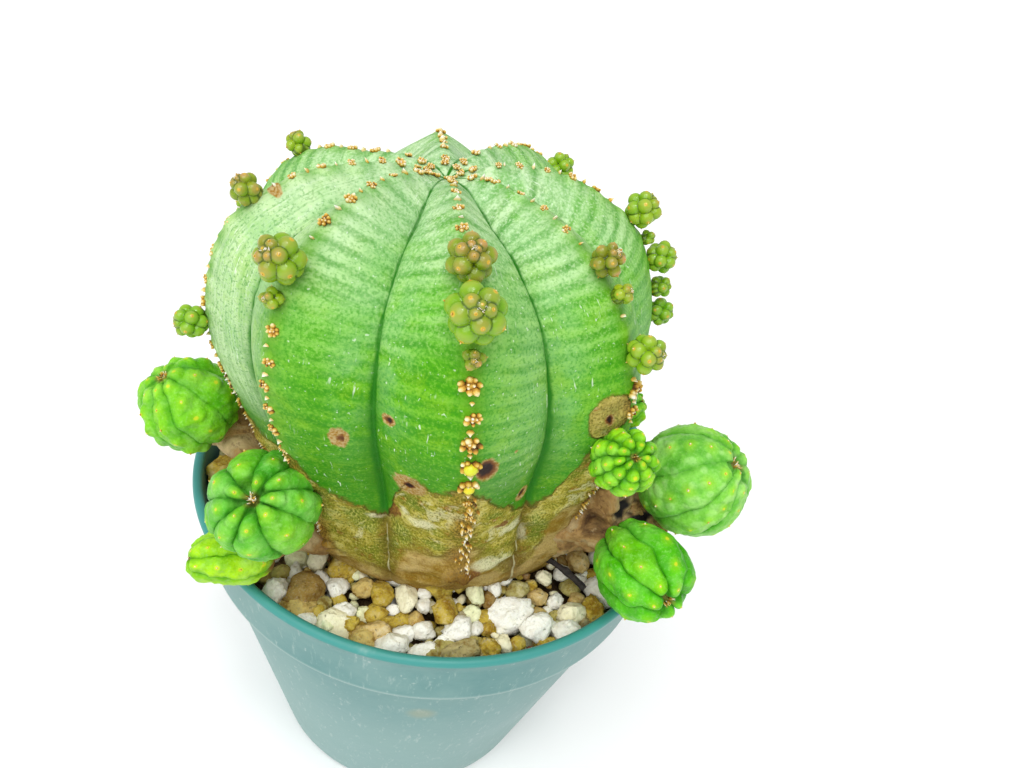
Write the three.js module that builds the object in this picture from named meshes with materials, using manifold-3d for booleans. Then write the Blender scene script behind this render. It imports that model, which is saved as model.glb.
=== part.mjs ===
// Baseball plant, Euphorbia obesa type, in a round plastic nursery pot.
// Millimetres, +Z up, origin at the centre of the pot's underside.
// Angles round the plant are measured from -Y, positive towards +X.
import * as THREE from 'three';
import { mergeVertices } from 'three/addons/utils/BufferGeometryUtils.js';
import Module from 'manifold-3d';

const wasm = await Module();
wasm.setup();

// ---------------------------------------------------------------- driving dimensions
const gap = 0.3;                  // left between pieces that touch

const potHeight = 70;
const rimRadius = 45;
const rimThickness = 1.7;
const bandHeight = 12.6;          // the wider band under the lip
const bandFootRadius = 43.3;
const wallTopRadius = 41.9;       // the wall just under the band
const baseRadius = 28.5;
const baseRounding = 1.5;
const wallThickness = 1.3;
const floorThickness = 2.2;
const drainHole = { count: 6, radius: 2.6, ringRadius: 19 };
const lipHeight = 1.6;            // the rounded lip on top of the band
const lipProud = 0.5;
const potSides = 48;
const drainHoleSides = 12;

const gravelHeight = 64;          // top of the fill that the stones sit in
const stone = {
  count: 62, tries: 6000, seed: 11, innerReach: 20,
  smallest: 2.6, largest: 5.4, spread: 1.6,   // radii, with small ones the commoner
  highest: 69.2, spacing: 0.8,                // top of the highest; share of touching distance kept
  proud: [0.1, 0.45],                         // centre above the fill, as a share of the radius
  chipped: 0.82, flat: [1, 0.85, 0.75], rock: 0.5,
};

const rimHeight = potHeight;      // heights of the plant lean about this level
const stemFoot = [-0.2, -4.0];    // where the stem's axis meets the level of the rim
const stemLean = [-0.0925, -0.082];   // sideways shift for each millimetre of height
const ribAngles = [12, 55, 104, 148, 189, 247, 295, 327];
const crownDrop = [0, 0, 0.3, 1.2, 2.4, 3.4, 0.8, 0];  // how much lower each rib's crown lies
const ribDepth = 4.2;
const ribSharpness = 1.35;        // above 1 rounds the crest and keeps the furrow sharp
const widerIsDeeper = 0.6;        // how strongly a wide rib's furrow is deeper
const evenRib = 45;               // degrees of a rib when all eight are alike
const furrowFades = [66, 96];     // the furrows die out between these heights
const crownFlat = 16;             // the furrows grow from nothing over this radius
const dropHeights = [100, 125];   // the crown's drop grows between these heights
const baseSwell = { height: 69, reach: 9, spread: 38, left: 2.6, right: 1.6, leftAngle: -75, rightAngle: 80 };
const stemSegmentsPerRib = 6;
const stemRings = 27;

// Crest of a rib from the sunken apex over the shoulder to the tip of the root: radius, height.
const crestOutline = [
  [0, 130.2], [7, 132.8], [14, 133], [21, 131.2], [29.5, 125], [33.9, 115.5], [34.8, 106],
  [32.6, 93.5], [29.6, 81], [27.2, 71.5], [24, 65], [15, 55], [6, 42], [0, 34],
];

// Bud eyes stand in a row down every crest, as shares of the crest's length.
const eye = { perRib: 13, first: 0.09, last: 0.64, width: 1.25, height: 0.75, thickness: 0.8, clear: 0.7 };

// Large offsets: place, direction of the tip, half width, half length, ribs, tubercle height.
// Those with a neck stand on a short woody stalk that starts in the stem at the given point.
const offsets = {
  offset_left_high: {
    centre: [-40.6, -18.0, 89.6], tip: [-0.56, -0.08, 0.82], radius: 7.4, half: 7.2, ribs: 8, tubercle: 0.05,
    neck: { from: [-26, -10, 75], radius: 3.8 },
  },
  offset_left_front: {
    centre: [-24.0, -35.2, 88.3], tip: [-0.07, -0.66, 0.74], radius: 8.1, half: 7.4, ribs: 9, tubercle: 0.04,
  },
  offset_left_low: {
    centre: [-29.1, -35.3, 76.0], tip: [-0.96, -0.25, 0.06], radius: 4.4, half: 6.2, ribs: 6, tubercle: 0.03,
    neck: { from: [-17, -25, 73], radius: 2.4 },
  },
  offset_right_high: {
    centre: [42.2, -15.0, 87.8], tip: [0.41, -0.30, 0.86], radius: 9.5, half: 9.4, ribs: 8, tubercle: 0.03,
    neck: { from: [25, -9, 75.5], radius: 4.4 },
  },
  offset_right_front: {
    centre: [25.0, -31.8, 103.8], tip: [0.18, -0.72, 0.67], radius: 4.9, half: 4.7, ribs: 7, tubercle: 0.06,
  },
  offset_right_low: {
    centre: [34.1, -29.9, 80.4], tip: [0.62, -0.76, -0.16], radius: 7.6, half: 8.4, ribs: 7, tubercle: 0.04,
    neck: { from: [21, -17, 75.5], radius: 3.9 },
  },
  offset_right_rear: {
    centre: [31.9, 3.1, 87.0], tip: [0.83, 0.12, 0.54], radius: 4.3, half: 4.1, ribs: 7, tubercle: 0.08,
  },
  offset_rear: {
    centre: [-7.5, 29.6, 83.5], tip: [-0.20, 0.74, 0.64], radius: 6.2, half: 5.9, ribs: 8, tubercle: 0.05,
  },
};
const neckShape = { reach: 0.72, slim: 0.85, flare: 1.5, sides: 10 };   // reach as a share of half length
const offsetShape = { segmentsPerRib: 4, rings: 9, ribDepth: 0.09, dimple: 0.14, dimpleReach: 0.3, rows: 5 };

// Young shoots on the crests: rib, share of the crest's length, radius.
const shoots = [
  [0, 0.256, 3.1], [0, 0.299, 3.8], [0, 0.333, 1.5],
  [1, 0.273, 2.4], [1, 0.303, 1.6], [1, 0.36, 2.8],
  [2, 0.296, 2.9], [2, 0.328, 1.3], [2, 0.358, 2.7], [2, 0.399, 2.0], [2, 0.439, 2.5],
  [3, 0.317, 2.6], [3, 0.43, 2.0],
  [4, 0.288, 1.1], [4, 0.37, 2.6], [4, 0.44, 1.5],
  [5, 0.263, 2.0], [5, 0.4, 2.7],
  [6, 0.274, 2.2], [6, 0.436, 2.5],
  [7, 0.297, 3.2], [7, 0.329, 1.5],
];
const shootShape = {
  segmentsPerRib: 2, rings: 6, ribs: 5, ribDepth: 0.12, tubercle: 0.14,
  dimple: 0.12, dimpleReach: 0.4, rows: 3,
};
const shootSunk = 0.12;           // share of the radius that lies inside the stem

const colours = {
  pot: [0x3f8f8c, 0.45], gravel: [0xcbb98f, 0.95], stem: [0x6fae4e, 0.6],
  offset: [0x55b52b, 0.55], shoot: [0x86a83c, 0.6],
};

// ---------------------------------------------------------------- small tools
const radians = THREE.MathUtils.degToRad;
const smoothstep = THREE.MathUtils.smoothstep;
const lerp = THREE.MathUtils.lerp;
const mergeDistance = 1e-4;

function seededRandom(seed) {
  let state = seed;
  return () => {
    state = (state * 1664525 + 1013904223) % 4294967296;
    return state / 4294967296;
  };
}

// The geometry with positions only and its shared vertices merged.
function merged(geometry) {
  const bare = geometry.clone();
  for (const name of Object.keys(bare.attributes)) {
    if (name !== 'position') bare.deleteAttribute(name);
  }
  return mergeVertices(bare, mergeDistance);
}

// A closed geometry as a solid.
function solidOf(geometry) {
  const { attributes, index } = merged(geometry);
  return new wasm.Manifold(new wasm.Mesh({
    numProp: 3,
    vertProperties: new Float32Array(attributes.position.array),
    triVerts: new Uint32Array(index.array),
  }));
}

function geometryOf(solid) {
  const mesh = solid.getMesh();
  const geometry = new THREE.BufferGeometry();
  geometry.setAttribute('position', new THREE.BufferAttribute(new Float32Array(mesh.vertProperties), 3));
  geometry.setIndex(new THREE.BufferAttribute(new Uint32Array(mesh.triVerts), 1));
  return geometry;
}

// A closed surface between two poles: point(u, v) with v = 0 and v = 1 at the poles and u once round.
function closedSurface(around, rings, point) {
  const positions = [];
  const faces = [];
  positions.push(...point(0, 0).toArray());
  for (let j = 1; j < rings; j++) {
    for (let i = 0; i < around; i++) {
      positions.push(...point(i / around, j / rings).toArray());
    }
  }
  positions.push(...point(0, 1).toArray());
  const at = (i, j) => 1 + (j - 1) * around + (i % around);
  const last = positions.length / 3 - 1;
  for (let i = 0; i < around; i++) {
    faces.push(0, at(i, 1), at(i + 1, 1));
    faces.push(last, at(i + 1, rings - 1), at(i, rings - 1));
    for (let j = 1; j < rings - 1; j++) {
      faces.push(at(i, j), at(i, j + 1), at(i + 1, j + 1));
      faces.push(at(i, j), at(i + 1, j + 1), at(i + 1, j));
    }
  }
  const geometry = new THREE.BufferGeometry();
  geometry.setAttribute('position', new THREE.BufferAttribute(new Float32Array(positions), 3));
  geometry.setIndex(faces);
  return geometry;
}

// ---------------------------------------------------------------- pot
function potGeometry() {
  const step = potHeight - bandHeight;
  const innerBase = baseRadius - wallThickness;
  const innerTop = wallTopRadius - wallThickness;
  const profile = [
    [0, 0], [baseRadius - baseRounding, 0], [baseRadius, baseRounding], [wallTopRadius, step],
    [bandFootRadius, step], [rimRadius - lipProud, potHeight - lipHeight],
    [rimRadius, potHeight - lipHeight + lipProud], [rimRadius, potHeight],
    [rimRadius - rimThickness, potHeight],
    [bandFootRadius - wallThickness, step + wallThickness], [innerTop, step],
    [innerBase, floorThickness], [0, floorThickness],
  ].map(([r, z]) => new THREE.Vector2(r, z));
  let pot = solidOf(uprightLathe(profile, potSides));
  for (let i = 0; i < drainHole.count; i++) {
    const depth = 3 * floorThickness;
    const hole = new THREE.CylinderGeometry(drainHole.radius, drainHole.radius, depth, drainHoleSides);
    hole.rotateX(Math.PI / 2);
    const angle = (2 * Math.PI * i) / drainHole.count;
    hole.translate(drainHole.ringRadius * Math.cos(angle), drainHole.ringRadius * Math.sin(angle), 0);
    pot = pot.subtract(solidOf(hole));
  }
  return geometryOf(pot);
}

// A LatheGeometry turned so that its axis is +Z; its profile runs bottom to top outside.
function uprightLathe(profile, sides) {
  const geometry = new THREE.LatheGeometry(profile, sides);
  geometry.rotateX(Math.PI / 2);
  return geometry;
}

// ---------------------------------------------------------------- stem
const crestCurve = new THREE.SplineCurve(crestOutline.map(([r, z]) => new THREE.Vector2(r, z)));

// Which rib an angle lies on: the crest before it, the share of the way to the next, the rib's width.
function ribAt(angle) {
  const first = ribAngles[0];
  const turned = first + ((((angle - first) % 360) + 360) % 360);
  let k = ribAngles.length - 1;
  while (ribAngles[k] > turned) k -= 1;
  const next = (k + 1) % ribAngles.length;
  const width = (ribAngles[next] - ribAngles[k] + 360) % 360;
  return { k, next, width, share: (turned - ribAngles[k]) / width };
}

// How far an angle is from another, as a soft bump of the given spread.
function angleBump(angle, centre, spread) {
  const away = ((((angle - centre + 180) % 360) + 360) % 360) - 180;
  return Math.exp(-((away / spread) ** 2));
}

// A point of the stem's skin at an angle and a share of the crest's length, pushed out by extra.
function stemPoint(angle, share, extra = 0) {
  const rib = ribAt(angle);
  const crest = crestCurve.getPoint(share);
  const along = crestCurve.getTangent(share);
  const toFurrow = 1 - Math.abs(2 * rib.share - 1);
  const depth = ribDepth * smoothstep(crest.x, 0, crownFlat) * smoothstep(crest.y, ...furrowFades)
    * (rib.width / evenRib) ** widerIsDeeper * toFurrow ** ribSharpness;
  const swell = Math.exp(-(((crest.y - baseSwell.height) / baseSwell.reach) ** 2))
    * (baseSwell.left * angleBump(angle, baseSwell.leftAngle, baseSwell.spread)
      + baseSwell.right * angleBump(angle, baseSwell.rightAngle, baseSwell.spread));
  const out = extra + swell - depth;
  const radius = Math.max(crest.x - along.y * out, 0);
  let height = crest.y + along.x * out;
  height -= lerp(crownDrop[rib.k], crownDrop[rib.next], rib.share)
    * smoothstep(height, ...dropHeights) * smoothstep(radius, 0, crownFlat);
  const a = radians(angle);
  return new THREE.Vector3(
    radius * Math.sin(a) + stemFoot[0] + stemLean[0] * (height - rimHeight),
    -radius * Math.cos(a) + stemFoot[1] + stemLean[1] * (height - rimHeight),
    height,
  );
}

// The ribbed body, with every rib cut into the same number of steps.
function stemBody(extra) {
  const steps = stemSegmentsPerRib;
  const around = ribAngles.length * steps;
  return solidOf(closedSurface(around, stemRings, (u, v) => {
    const index = Math.round(u * around);
    const k = Math.floor(index / steps) % ribAngles.length;
    const width = (ribAngles[(k + 1) % ribAngles.length] - ribAngles[k] + 360) % 360;
    return stemPoint(ribAngles[k] + (width * (index % steps)) / steps, v, extra);
  }));
}

// A woody stalk from inside the stem to just inside the offset that it carries.
function neckSolid({ centre, tip, half, neck }, extra) {
  const start = new THREE.Vector3(...neck.from);
  const axis = new THREE.Vector3(...tip).normalize();
  const end = new THREE.Vector3(...centre).addScaledVector(axis, -neckShape.reach * half);
  const length = start.distanceTo(end) + extra;
  const geometry = new THREE.CylinderGeometry(
    neckShape.slim * neck.radius + extra, neckShape.flare * neck.radius + extra, length, neckShape.sides,
  );
  geometry.translate(0, length / 2, 0);
  const turn = new THREE.Quaternion().setFromUnitVectors(
    new THREE.Vector3(0, 1, 0), end.clone().sub(start).normalize(),
  );
  geometry.applyQuaternion(turn);
  geometry.translate(start.x, start.y, start.z);
  return solidOf(geometry);
}

// Outward direction of the skin at a crest.
function crestNormal(angle, share) {
  return stemPoint(angle, share, 1).sub(stemPoint(angle, share, 0)).normalize();
}

// Turns a shape's +Z to the given direction and moves it to the given place.
function placeAlong(geometry, direction, place) {
  const up = new THREE.Vector3(0, 0, 1);
  const turn = new THREE.Quaternion().setFromUnitVectors(up, direction.clone().normalize());
  geometry.applyQuaternion(turn);
  geometry.translate(place.x, place.y, place.z);
  return geometry;
}

// Bud eyes: small flat diamonds, wider across the rib than along it, half sunk in the crest.
function eyeSolids(keepClear) {
  const eyes = [];
  ribAngles.forEach((angle, k) => {
    for (let i = 0; i < eye.perRib; i++) {
      const share = lerp(eye.first, eye.last, (i + 0.5 * (k % 2)) / eye.perRib);
      const place = stemPoint(angle, share);
      const reach = eye.width + eye.clear;
      if (keepClear.some((ball) => ball.centre.distanceTo(place) < ball.radius + reach)) continue;
      const geometry = new THREE.OctahedronGeometry(1);
      geometry.scale(eye.width, eye.height, eye.thickness);
      geometry.rotateZ(radians(angle));
      eyes.push(solidOf(placeAlong(geometry, crestNormal(angle, share), place)));
    }
  });
  return eyes;
}

// ---------------------------------------------------------------- offsets and shoots
// A ribbed ball with rows of tubercles on its ribs and a small dimple at its tip. Its own +Z is its
// tip. Each rib is s = 0 at its crest and 1 at its furrow, and next ribs' tubercles alternate.
function ribbedBall({ centre, tip, radius, half, ribs, tubercle }, shape, extra) {
  const around = ribs * shape.segmentsPerRib;
  const geometry = closedSurface(around, shape.rings, (u, v) => {
    const polar = Math.PI * v;
    const inRib = u * ribs;
    const s = 1 - Math.abs(2 * (inRib - Math.floor(inRib)) - 1);
    const row = Math.cos(2 * Math.PI * (shape.rows * v + 0.5 * (Math.round(inRib) % 2)));
    const swing = Math.sin(polar);
    const factor = 1 - shape.ribDepth * s * Math.min(1, 2 * swing)
      + tubercle * (1 - s) * row * swing;
    const dip = shape.dimple * half * Math.exp(-((polar / shape.dimpleReach) ** 2));
    const across = (radius * factor + extra) * swing;
    return new THREE.Vector3(
      across * Math.cos(2 * Math.PI * u),
      across * Math.sin(2 * Math.PI * u),
      (half + extra) * Math.cos(polar) - dip,
    );
  });
  return solidOf(placeAlong(geometry, new THREE.Vector3(...tip), new THREE.Vector3(...centre)));
}

// A young shoot as a ball standing on a crest.
function shootBall([rib, share, radius]) {
  const normal = crestNormal(ribAngles[rib], share);
  const centre = stemPoint(ribAngles[rib], share).addScaledVector(normal, radius * (1 - shootSunk));
  return {
    centre: centre.toArray(), tip: normal.toArray(), radius, half: radius,
    ribs: shootShape.ribs, tubercle: shootShape.tubercle,
  };
}

// ---------------------------------------------------------------- gravel
function gravelGeometry(stemHole) {
  const step = potHeight - bandHeight;
  const innerBase = baseRadius - wallThickness - gap;
  const innerTop = wallTopRadius - wallThickness - gap;
  const innerBand = bandFootRadius - wallThickness - gap;
  const profile = [
    [0, floorThickness + gap], [innerBase, floorThickness + gap], [innerTop, step],
    [innerBand, step + wallThickness + gap], [innerBand, gravelHeight], [0, gravelHeight],
  ].map(([r, z]) => new THREE.Vector2(r, z));
  const fill = solidOf(uprightLathe(profile, potSides));
  return geometryOf(wasm.Manifold.union([fill, ...stoneSolids(innerBand)]).subtract(stemHole));
}

// Stones: jittered icosahedra of many sizes, spread by seeded draws and more than half sunk.
function stoneSolids(outerRadius) {
  const random = seededRandom(stone.seed);
  const placed = [];
  for (let n = 0; n < stone.tries && placed.length < stone.count; n++) {
    const left = 1 - placed.length / stone.count;
    const size = lerp(stone.smallest, stone.largest, left * random() ** stone.spread);
    const reach = lerp(stone.innerReach, outerRadius - size, Math.sqrt(random()));
    const angle = 2 * Math.PI * random();
    const place = new THREE.Vector3(reach * Math.cos(angle), reach * Math.sin(angle), 0);
    place.z = Math.min(gravelHeight + size * lerp(...stone.proud, random()), stone.highest - size);
    if (placed.some((other) => other.place.distanceTo(place) < stone.spacing * (other.size + size))) continue;
    placed.push({ place, size });
  }
  return placed.map(({ place, size }) => {
    const geometry = merged(new THREE.IcosahedronGeometry(size, 0));
    const points = geometry.attributes.position;
    for (let i = 0; i < points.count; i++) {
      const chip = lerp(stone.chipped, 1, random());
      points.setXYZ(i, chip * points.getX(i), chip * points.getY(i), chip * points.getZ(i));
    }
    geometry.scale(...stone.flat);
    geometry.rotateX(stone.rock * (random() - 0.5));
    geometry.rotateZ(2 * Math.PI * random());
    geometry.translate(place.x, place.y, place.z);
    return solidOf(geometry);
  });
}

// ---------------------------------------------------------------- assembly
const plant = new THREE.Group();

function addMesh(name, geometry, [colour, roughness]) {
  const material = new THREE.MeshStandardMaterial({ color: colour, roughness, metalness: 0 });
  const mesh = new THREE.Mesh(geometry, material);
  mesh.name = name;
  plant.add(mesh);
}

const offsetList = Object.entries(offsets);
const shootList = shoots.map((shoot, i) => {
  const numberOnRib = shoots.slice(0, i + 1).filter(([rib]) => rib === shoot[0]).length;
  return [`shoot_rib${shoot[0] + 1}_${numberOnRib}`, shootBall(shoot)];
});
const balls = [...offsetList, ...shootList].map(([, ball]) => ({
  centre: new THREE.Vector3(...ball.centre), radius: ball.radius,
}));

const necks = offsetList.filter(([, ball]) => ball.neck).map(([, ball]) => ball);
const stemSolid = wasm.Manifold.union([
  stemBody(0), ...necks.map((ball) => neckSolid(ball, 0)), ...eyeSolids(balls),
]);
const stemHole = stemBody(gap);
const woodHole = wasm.Manifold.union([stemHole, ...necks.map((ball) => neckSolid(ball, gap))]);

addMesh('pot', potGeometry(), colours.pot);
addMesh('gravel', gravelGeometry(stemHole), colours.gravel);
addMesh('stem', geometryOf(stemSolid), colours.stem);

// Every offset and shoot is cut clear of the stem and of those before it.
let taken = woodHole;
for (const [name, ball] of offsetList) {
  addMesh(name, geometryOf(ribbedBall(ball, offsetShape, 0).subtract(taken)), colours.offset);
  taken = taken.add(ribbedBall(ball, offsetShape, gap));
}
for (const [name, ball] of shootList) {
  addMesh(name, geometryOf(ribbedBall(ball, shootShape, 0).subtract(taken)), colours.shoot);
  taken = taken.add(ribbedBall(ball, shootShape, gap));
}

export default plant;
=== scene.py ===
import math
import bpy
import numpy as np
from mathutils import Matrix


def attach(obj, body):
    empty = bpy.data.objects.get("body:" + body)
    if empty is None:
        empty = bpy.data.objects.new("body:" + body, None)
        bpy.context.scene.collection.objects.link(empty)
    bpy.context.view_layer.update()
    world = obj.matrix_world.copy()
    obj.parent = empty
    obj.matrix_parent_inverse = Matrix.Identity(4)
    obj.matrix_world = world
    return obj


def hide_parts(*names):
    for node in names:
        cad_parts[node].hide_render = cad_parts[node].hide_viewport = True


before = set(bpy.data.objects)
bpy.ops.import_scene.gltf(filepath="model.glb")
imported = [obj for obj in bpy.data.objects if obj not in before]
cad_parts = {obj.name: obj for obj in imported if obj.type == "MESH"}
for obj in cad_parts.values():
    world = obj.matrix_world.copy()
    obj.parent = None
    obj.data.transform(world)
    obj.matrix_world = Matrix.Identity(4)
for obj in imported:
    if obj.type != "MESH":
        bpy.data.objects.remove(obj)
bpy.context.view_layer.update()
scene = bpy.context.scene
mm = 0.001   # every size below is in millimetres
print("frame: %d nodes" % len(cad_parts))

# ---- camera and its place before the plant
cameraView = {
    "place": (0.0, -115.7, 176.1),
    "pitchDown": 36.44,
    "turnRight": 5.01,
    "roll": 12.34,
    "lens": 28.34,
    "sensor": 36.0,
}


def cameraAxes(view):
    # forward from pitch and turn, right level with the floor, then both side axes turned by the roll
    pitch, turn, roll = (math.radians(view[k]) for k in ("pitchDown", "turnRight", "roll"))
    forward = np.array([math.sin(turn) * math.cos(pitch), math.cos(turn) * math.cos(pitch), -math.sin(pitch)])
    level = np.array([math.cos(turn), -math.sin(turn), 0.0])
    upright = np.cross(level, forward)
    right = math.cos(roll) * level + math.sin(roll) * upright
    up = -math.sin(roll) * level + math.cos(roll) * upright
    return right, up, forward


def addCamera(view):
    right, up, forward = cameraAxes(view)
    data = bpy.data.cameras.new("studioCamera")
    data.lens = view["lens"]
    data.sensor_width = view["sensor"]
    data.clip_start = 0.005
    camera = bpy.data.objects.new("studioCamera", data)
    turned = np.eye(4)
    turned[:3, 0], turned[:3, 1], turned[:3, 2] = right, up, -forward
    turned[:3, 3] = np.array(view["place"]) * mm
    camera.matrix_world = turned.T.tolist()
    scene.collection.objects.link(camera)
    scene.camera = camera


# ---- small maths, all on whole arrays
def smooth(low, high, x):
    # 0 below low, 1 above high, with a soft S between them
    t = np.clip((x - low) / (high - low), 0, 1)
    return t * t * (3 - 2 * t)


def spline(points, share):
    # a curve through points: each stretch is a cubic whose ends lean along their neighbours' chord
    points = np.asarray(points, float)
    last = len(points) - 1
    x = np.clip(share, 0, 1) * last
    i = np.minimum(np.floor(x).astype(int), last - 1)
    w = (x - i)[..., None]
    before, start = points[np.maximum(i - 1, 0)], points[i]
    end, after = points[i + 1], points[np.minimum(i + 2, last)]
    leanStart, leanEnd = (end - before) / 2, (after - start) / 2
    cubic = (2 * start - 2 * end + leanStart + leanEnd) * w ** 3
    square = (3 * end - 3 * start - 2 * leanStart - leanEnd) * w ** 2
    return cubic + square + leanStart * w + start


def ripples(points, size, seed, waves=26):
    # soft noise from -1 to 1: the mean of many sine waves of about the given size in seeded directions
    draw = np.random.default_rng(seed)
    directions = draw.normal(size=(waves, points.shape[-1]))
    directions /= np.linalg.norm(directions, axis=1, keepdims=True)
    lengths = size * draw.uniform(0.7, 1.6, waves)
    phases = draw.uniform(0, 2 * math.pi, waves)
    turns = points @ (directions / lengths[:, None]).T * 2 * math.pi + phases
    return np.sin(turns).sum(-1) / math.sqrt(waves / 2) / 2


def turnTo(direction):
    # the smallest turn that takes +Z to the direction, for one direction or for many
    d = np.atleast_2d(np.asarray(direction, float))
    d = d / np.linalg.norm(d, axis=1, keepdims=True)
    x, y, z = d.T
    k = 1 / (1 + np.maximum(z, -0.9999))
    rows = [[1 - x * x * k, -x * y * k, x], [-x * y * k, 1 - y * y * k, y], [-x, -y, z]]
    turned = np.moveaxis(np.array(rows), 2, 0)
    return turned if np.ndim(direction) > 1 else turned[0]


# ---- meshes
def wrappedFaces(columns, rows):
    # quads of a grid closed on itself sideways, and a fan to a pole at each end; corners hold column and row
    column, row = np.meshgrid(np.arange(columns), np.arange(rows - 1))
    column, row = column.ravel(), row.ravel()
    right = (column + 1) % columns
    quads = np.stack([row * columns + column, row * columns + right,
                      (row + 1) * columns + right, (row + 1) * columns + column], 1)
    corners = np.stack([np.stack([column, column + 1, column + 1, column], 1),
                        np.stack([row, row, row + 1, row + 1], 1)], -1)
    around = np.arange(columns)
    ahead = (around + 1) % columns
    firstPole, lastPole = columns * rows, columns * rows + 1
    bottom = (rows - 1) * columns
    fans = np.concatenate([
        np.stack([np.full(columns, firstPole), ahead, around], 1),
        np.stack([np.full(columns, lastPole), bottom + around, bottom + ahead], 1)])
    firstRow, lastRow = np.zeros(columns), np.full(columns, rows - 1)
    fanCorners = np.concatenate([
        np.stack([np.stack([around + 0.5, around + 1, around], 1), np.stack([firstRow] * 3, 1)], -1),
        np.stack([np.stack([around + 0.5, around, around + 1], 1), np.stack([lastRow] * 3, 1)], -1)])
    return quads, corners, fans, fanCorners


def signedVolume(points, faces):
    # a sixth of the sum of each face's triple product, over its triangles
    a, b, c = points[faces[:, 0]], points[faces[:, 1]], points[faces[:, 2]]
    total = np.einsum("ij,ij->i", a, np.cross(b, c)).sum()
    if faces.shape[1] == 4:
        d = points[faces[:, 3]]
        total += np.einsum("ij,ij->i", a, np.cross(c, d)).sum()
    return total / 6


def addMesh(name, points, faceSets, material, values=None, cornerSets=None):
    # points in millimetres; face sets are arrays of triangles or quads, turned together so that they face out
    points = np.asarray(points, float)
    middle = points.mean(0)
    if sum(signedVolume(points - middle, faces) for faces in faceSets) < 0:
        faceSets = [faces[:, ::-1] for faces in faceSets]
        cornerSets = [corners[:, ::-1] for corners in cornerSets] if cornerSets else None
    mesh = bpy.data.meshes.new(name)
    loops = np.concatenate([faces.ravel() for faces in faceSets])
    sides = np.concatenate([np.full(len(faces), faces.shape[1]) for faces in faceSets])
    mesh.vertices.add(len(points))
    mesh.vertices.foreach_set("co", (points * mm).astype(np.float32).ravel())
    mesh.loops.add(len(loops))
    mesh.loops.foreach_set("vertex_index", loops.astype(np.int32))
    mesh.polygons.add(len(sides))
    mesh.polygons.foreach_set("loop_start", (np.cumsum(sides) - sides).astype(np.int32))
    mesh.polygons.foreach_set("use_smooth", np.ones(len(sides), bool))
    if cornerSets:
        uv = mesh.uv_layers.new(name="skin")
        corners = np.concatenate([corners.reshape(-1, 2) for corners in cornerSets])
        uv.data.foreach_set("uv", corners.astype(np.float32).ravel())
    for key, value in (values or {}).items():
        layer = mesh.attributes.new(key, "FLOAT", "POINT")
        layer.data.foreach_set("value", np.asarray(value, np.float32).ravel())
    mesh.update(calc_edges=True)
    mesh.validate()
    piece = bpy.data.objects.new(name, mesh)
    mesh.materials.append(material)
    scene.collection.objects.link(piece)
    return piece


def addBody(name, grid, firstPole, lastPole, material, values=None, uvOf=None):
    # a closed body from a grid of rows by columns and its two poles
    # values are per grid point, and each pole takes its row's mean
    rows, columns = grid.shape[:2]
    quads, corners, fans, fanCorners = wrappedFaces(columns, rows)
    points = np.concatenate([grid.reshape(-1, 3), [firstPole, lastPole]])
    spread = {}
    for key, value in (values or {}).items():
        spread[key] = np.concatenate([value.ravel(), [value[0].mean(), value[-1].mean()]])
    cornerSets = [uvOf(corners), uvOf(fanCorners)] if uvOf else None
    return addMesh(name, points, [quads, fans], material, spread, cornerSets)


def turnedProfile(profile, sides):
    # the grid of a section of radii and heights turned once round the axis
    around = np.arange(sides) * 2 * math.pi / sides
    r, z = np.array(profile, float).T[..., None]
    return np.stack([r * np.cos(around), r * np.sin(around), z + 0 * around], -1)


def tubeRings(line, columns):
    # the directions across a line at each of its points, and their angles from the level one
    ahead = np.gradient(line, axis=0)
    ahead /= np.linalg.norm(ahead, axis=1, keepdims=True)
    side = np.cross(ahead, [0, 0, 1])
    side /= np.linalg.norm(side, axis=1, keepdims=True)
    top = np.cross(side, ahead)
    a = np.arange(columns) * 2 * math.pi / columns
    return np.cos(a)[None, :, None] * side[:, None] + np.sin(a)[None, :, None] * top[:, None], a


def gatheredColumns(ribs, perRib):
    # a grid's columns counted in ribs, closer together at every crest and furrow
    turn = np.arange(perRib) / perRib
    gathered = turn - 0.7 * np.sin(4 * math.pi * turn) / (4 * math.pi)
    return (np.arange(ribs)[:, None] + gathered[None]).ravel()


def unitBall(columns, rows):
    # directions of a sphere's grid between its poles, and its faces
    around = np.arange(columns) * 2 * math.pi / columns
    polar = (np.arange(rows) + 1) * math.pi / (rows + 1)
    p, a = np.meshgrid(polar, around, indexing="ij")
    grid = np.stack([np.sin(p) * np.cos(a), np.sin(p) * np.sin(a), np.cos(p)], -1).reshape(-1, 3)
    quads, _, fans, _ = wrappedFaces(columns, rows)
    return np.concatenate([grid, [[0, 0, 1], [0, 0, -1]]]), quads, fans


def repeatedFaces(quads, fans, count, each):
    # the faces of many like bodies, each with its own run of points
    shift = (np.arange(count) * each)[:, None, None]
    return [(quads[None] + shift).reshape(-1, 4), (fans[None] + shift).reshape(-1, 3)]


def addLumps(name, places, turns, sizes, material, values=None, columns=6, rows=3, point=0.0):
    # many small ellipsoids in one mesh; point above 0 draws each one's +Z end out into a tip
    ball, quads, fans = unitBall(columns, rows)
    upper = np.clip(ball[:, 2:], 0, 1)
    drawn = ball * np.concatenate([1 - point * upper, 1 - point * upper, 1 + 0.5 * point * upper], 1)
    count, each = len(places), len(ball)
    scaled = drawn[None] * np.asarray(sizes)[:, None, :]
    points = np.einsum("nij,nmj->nmi", turns, scaled) + np.asarray(places)[:, None, :]
    spread = {key: np.repeat(value, each) for key, value in (values or {}).items()}
    spread["tip"] = np.tile(upper[:, 0], count)
    return addMesh(name, points.reshape(-1, 3), repeatedFaces(quads, fans, count, each), material, spread)


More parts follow.
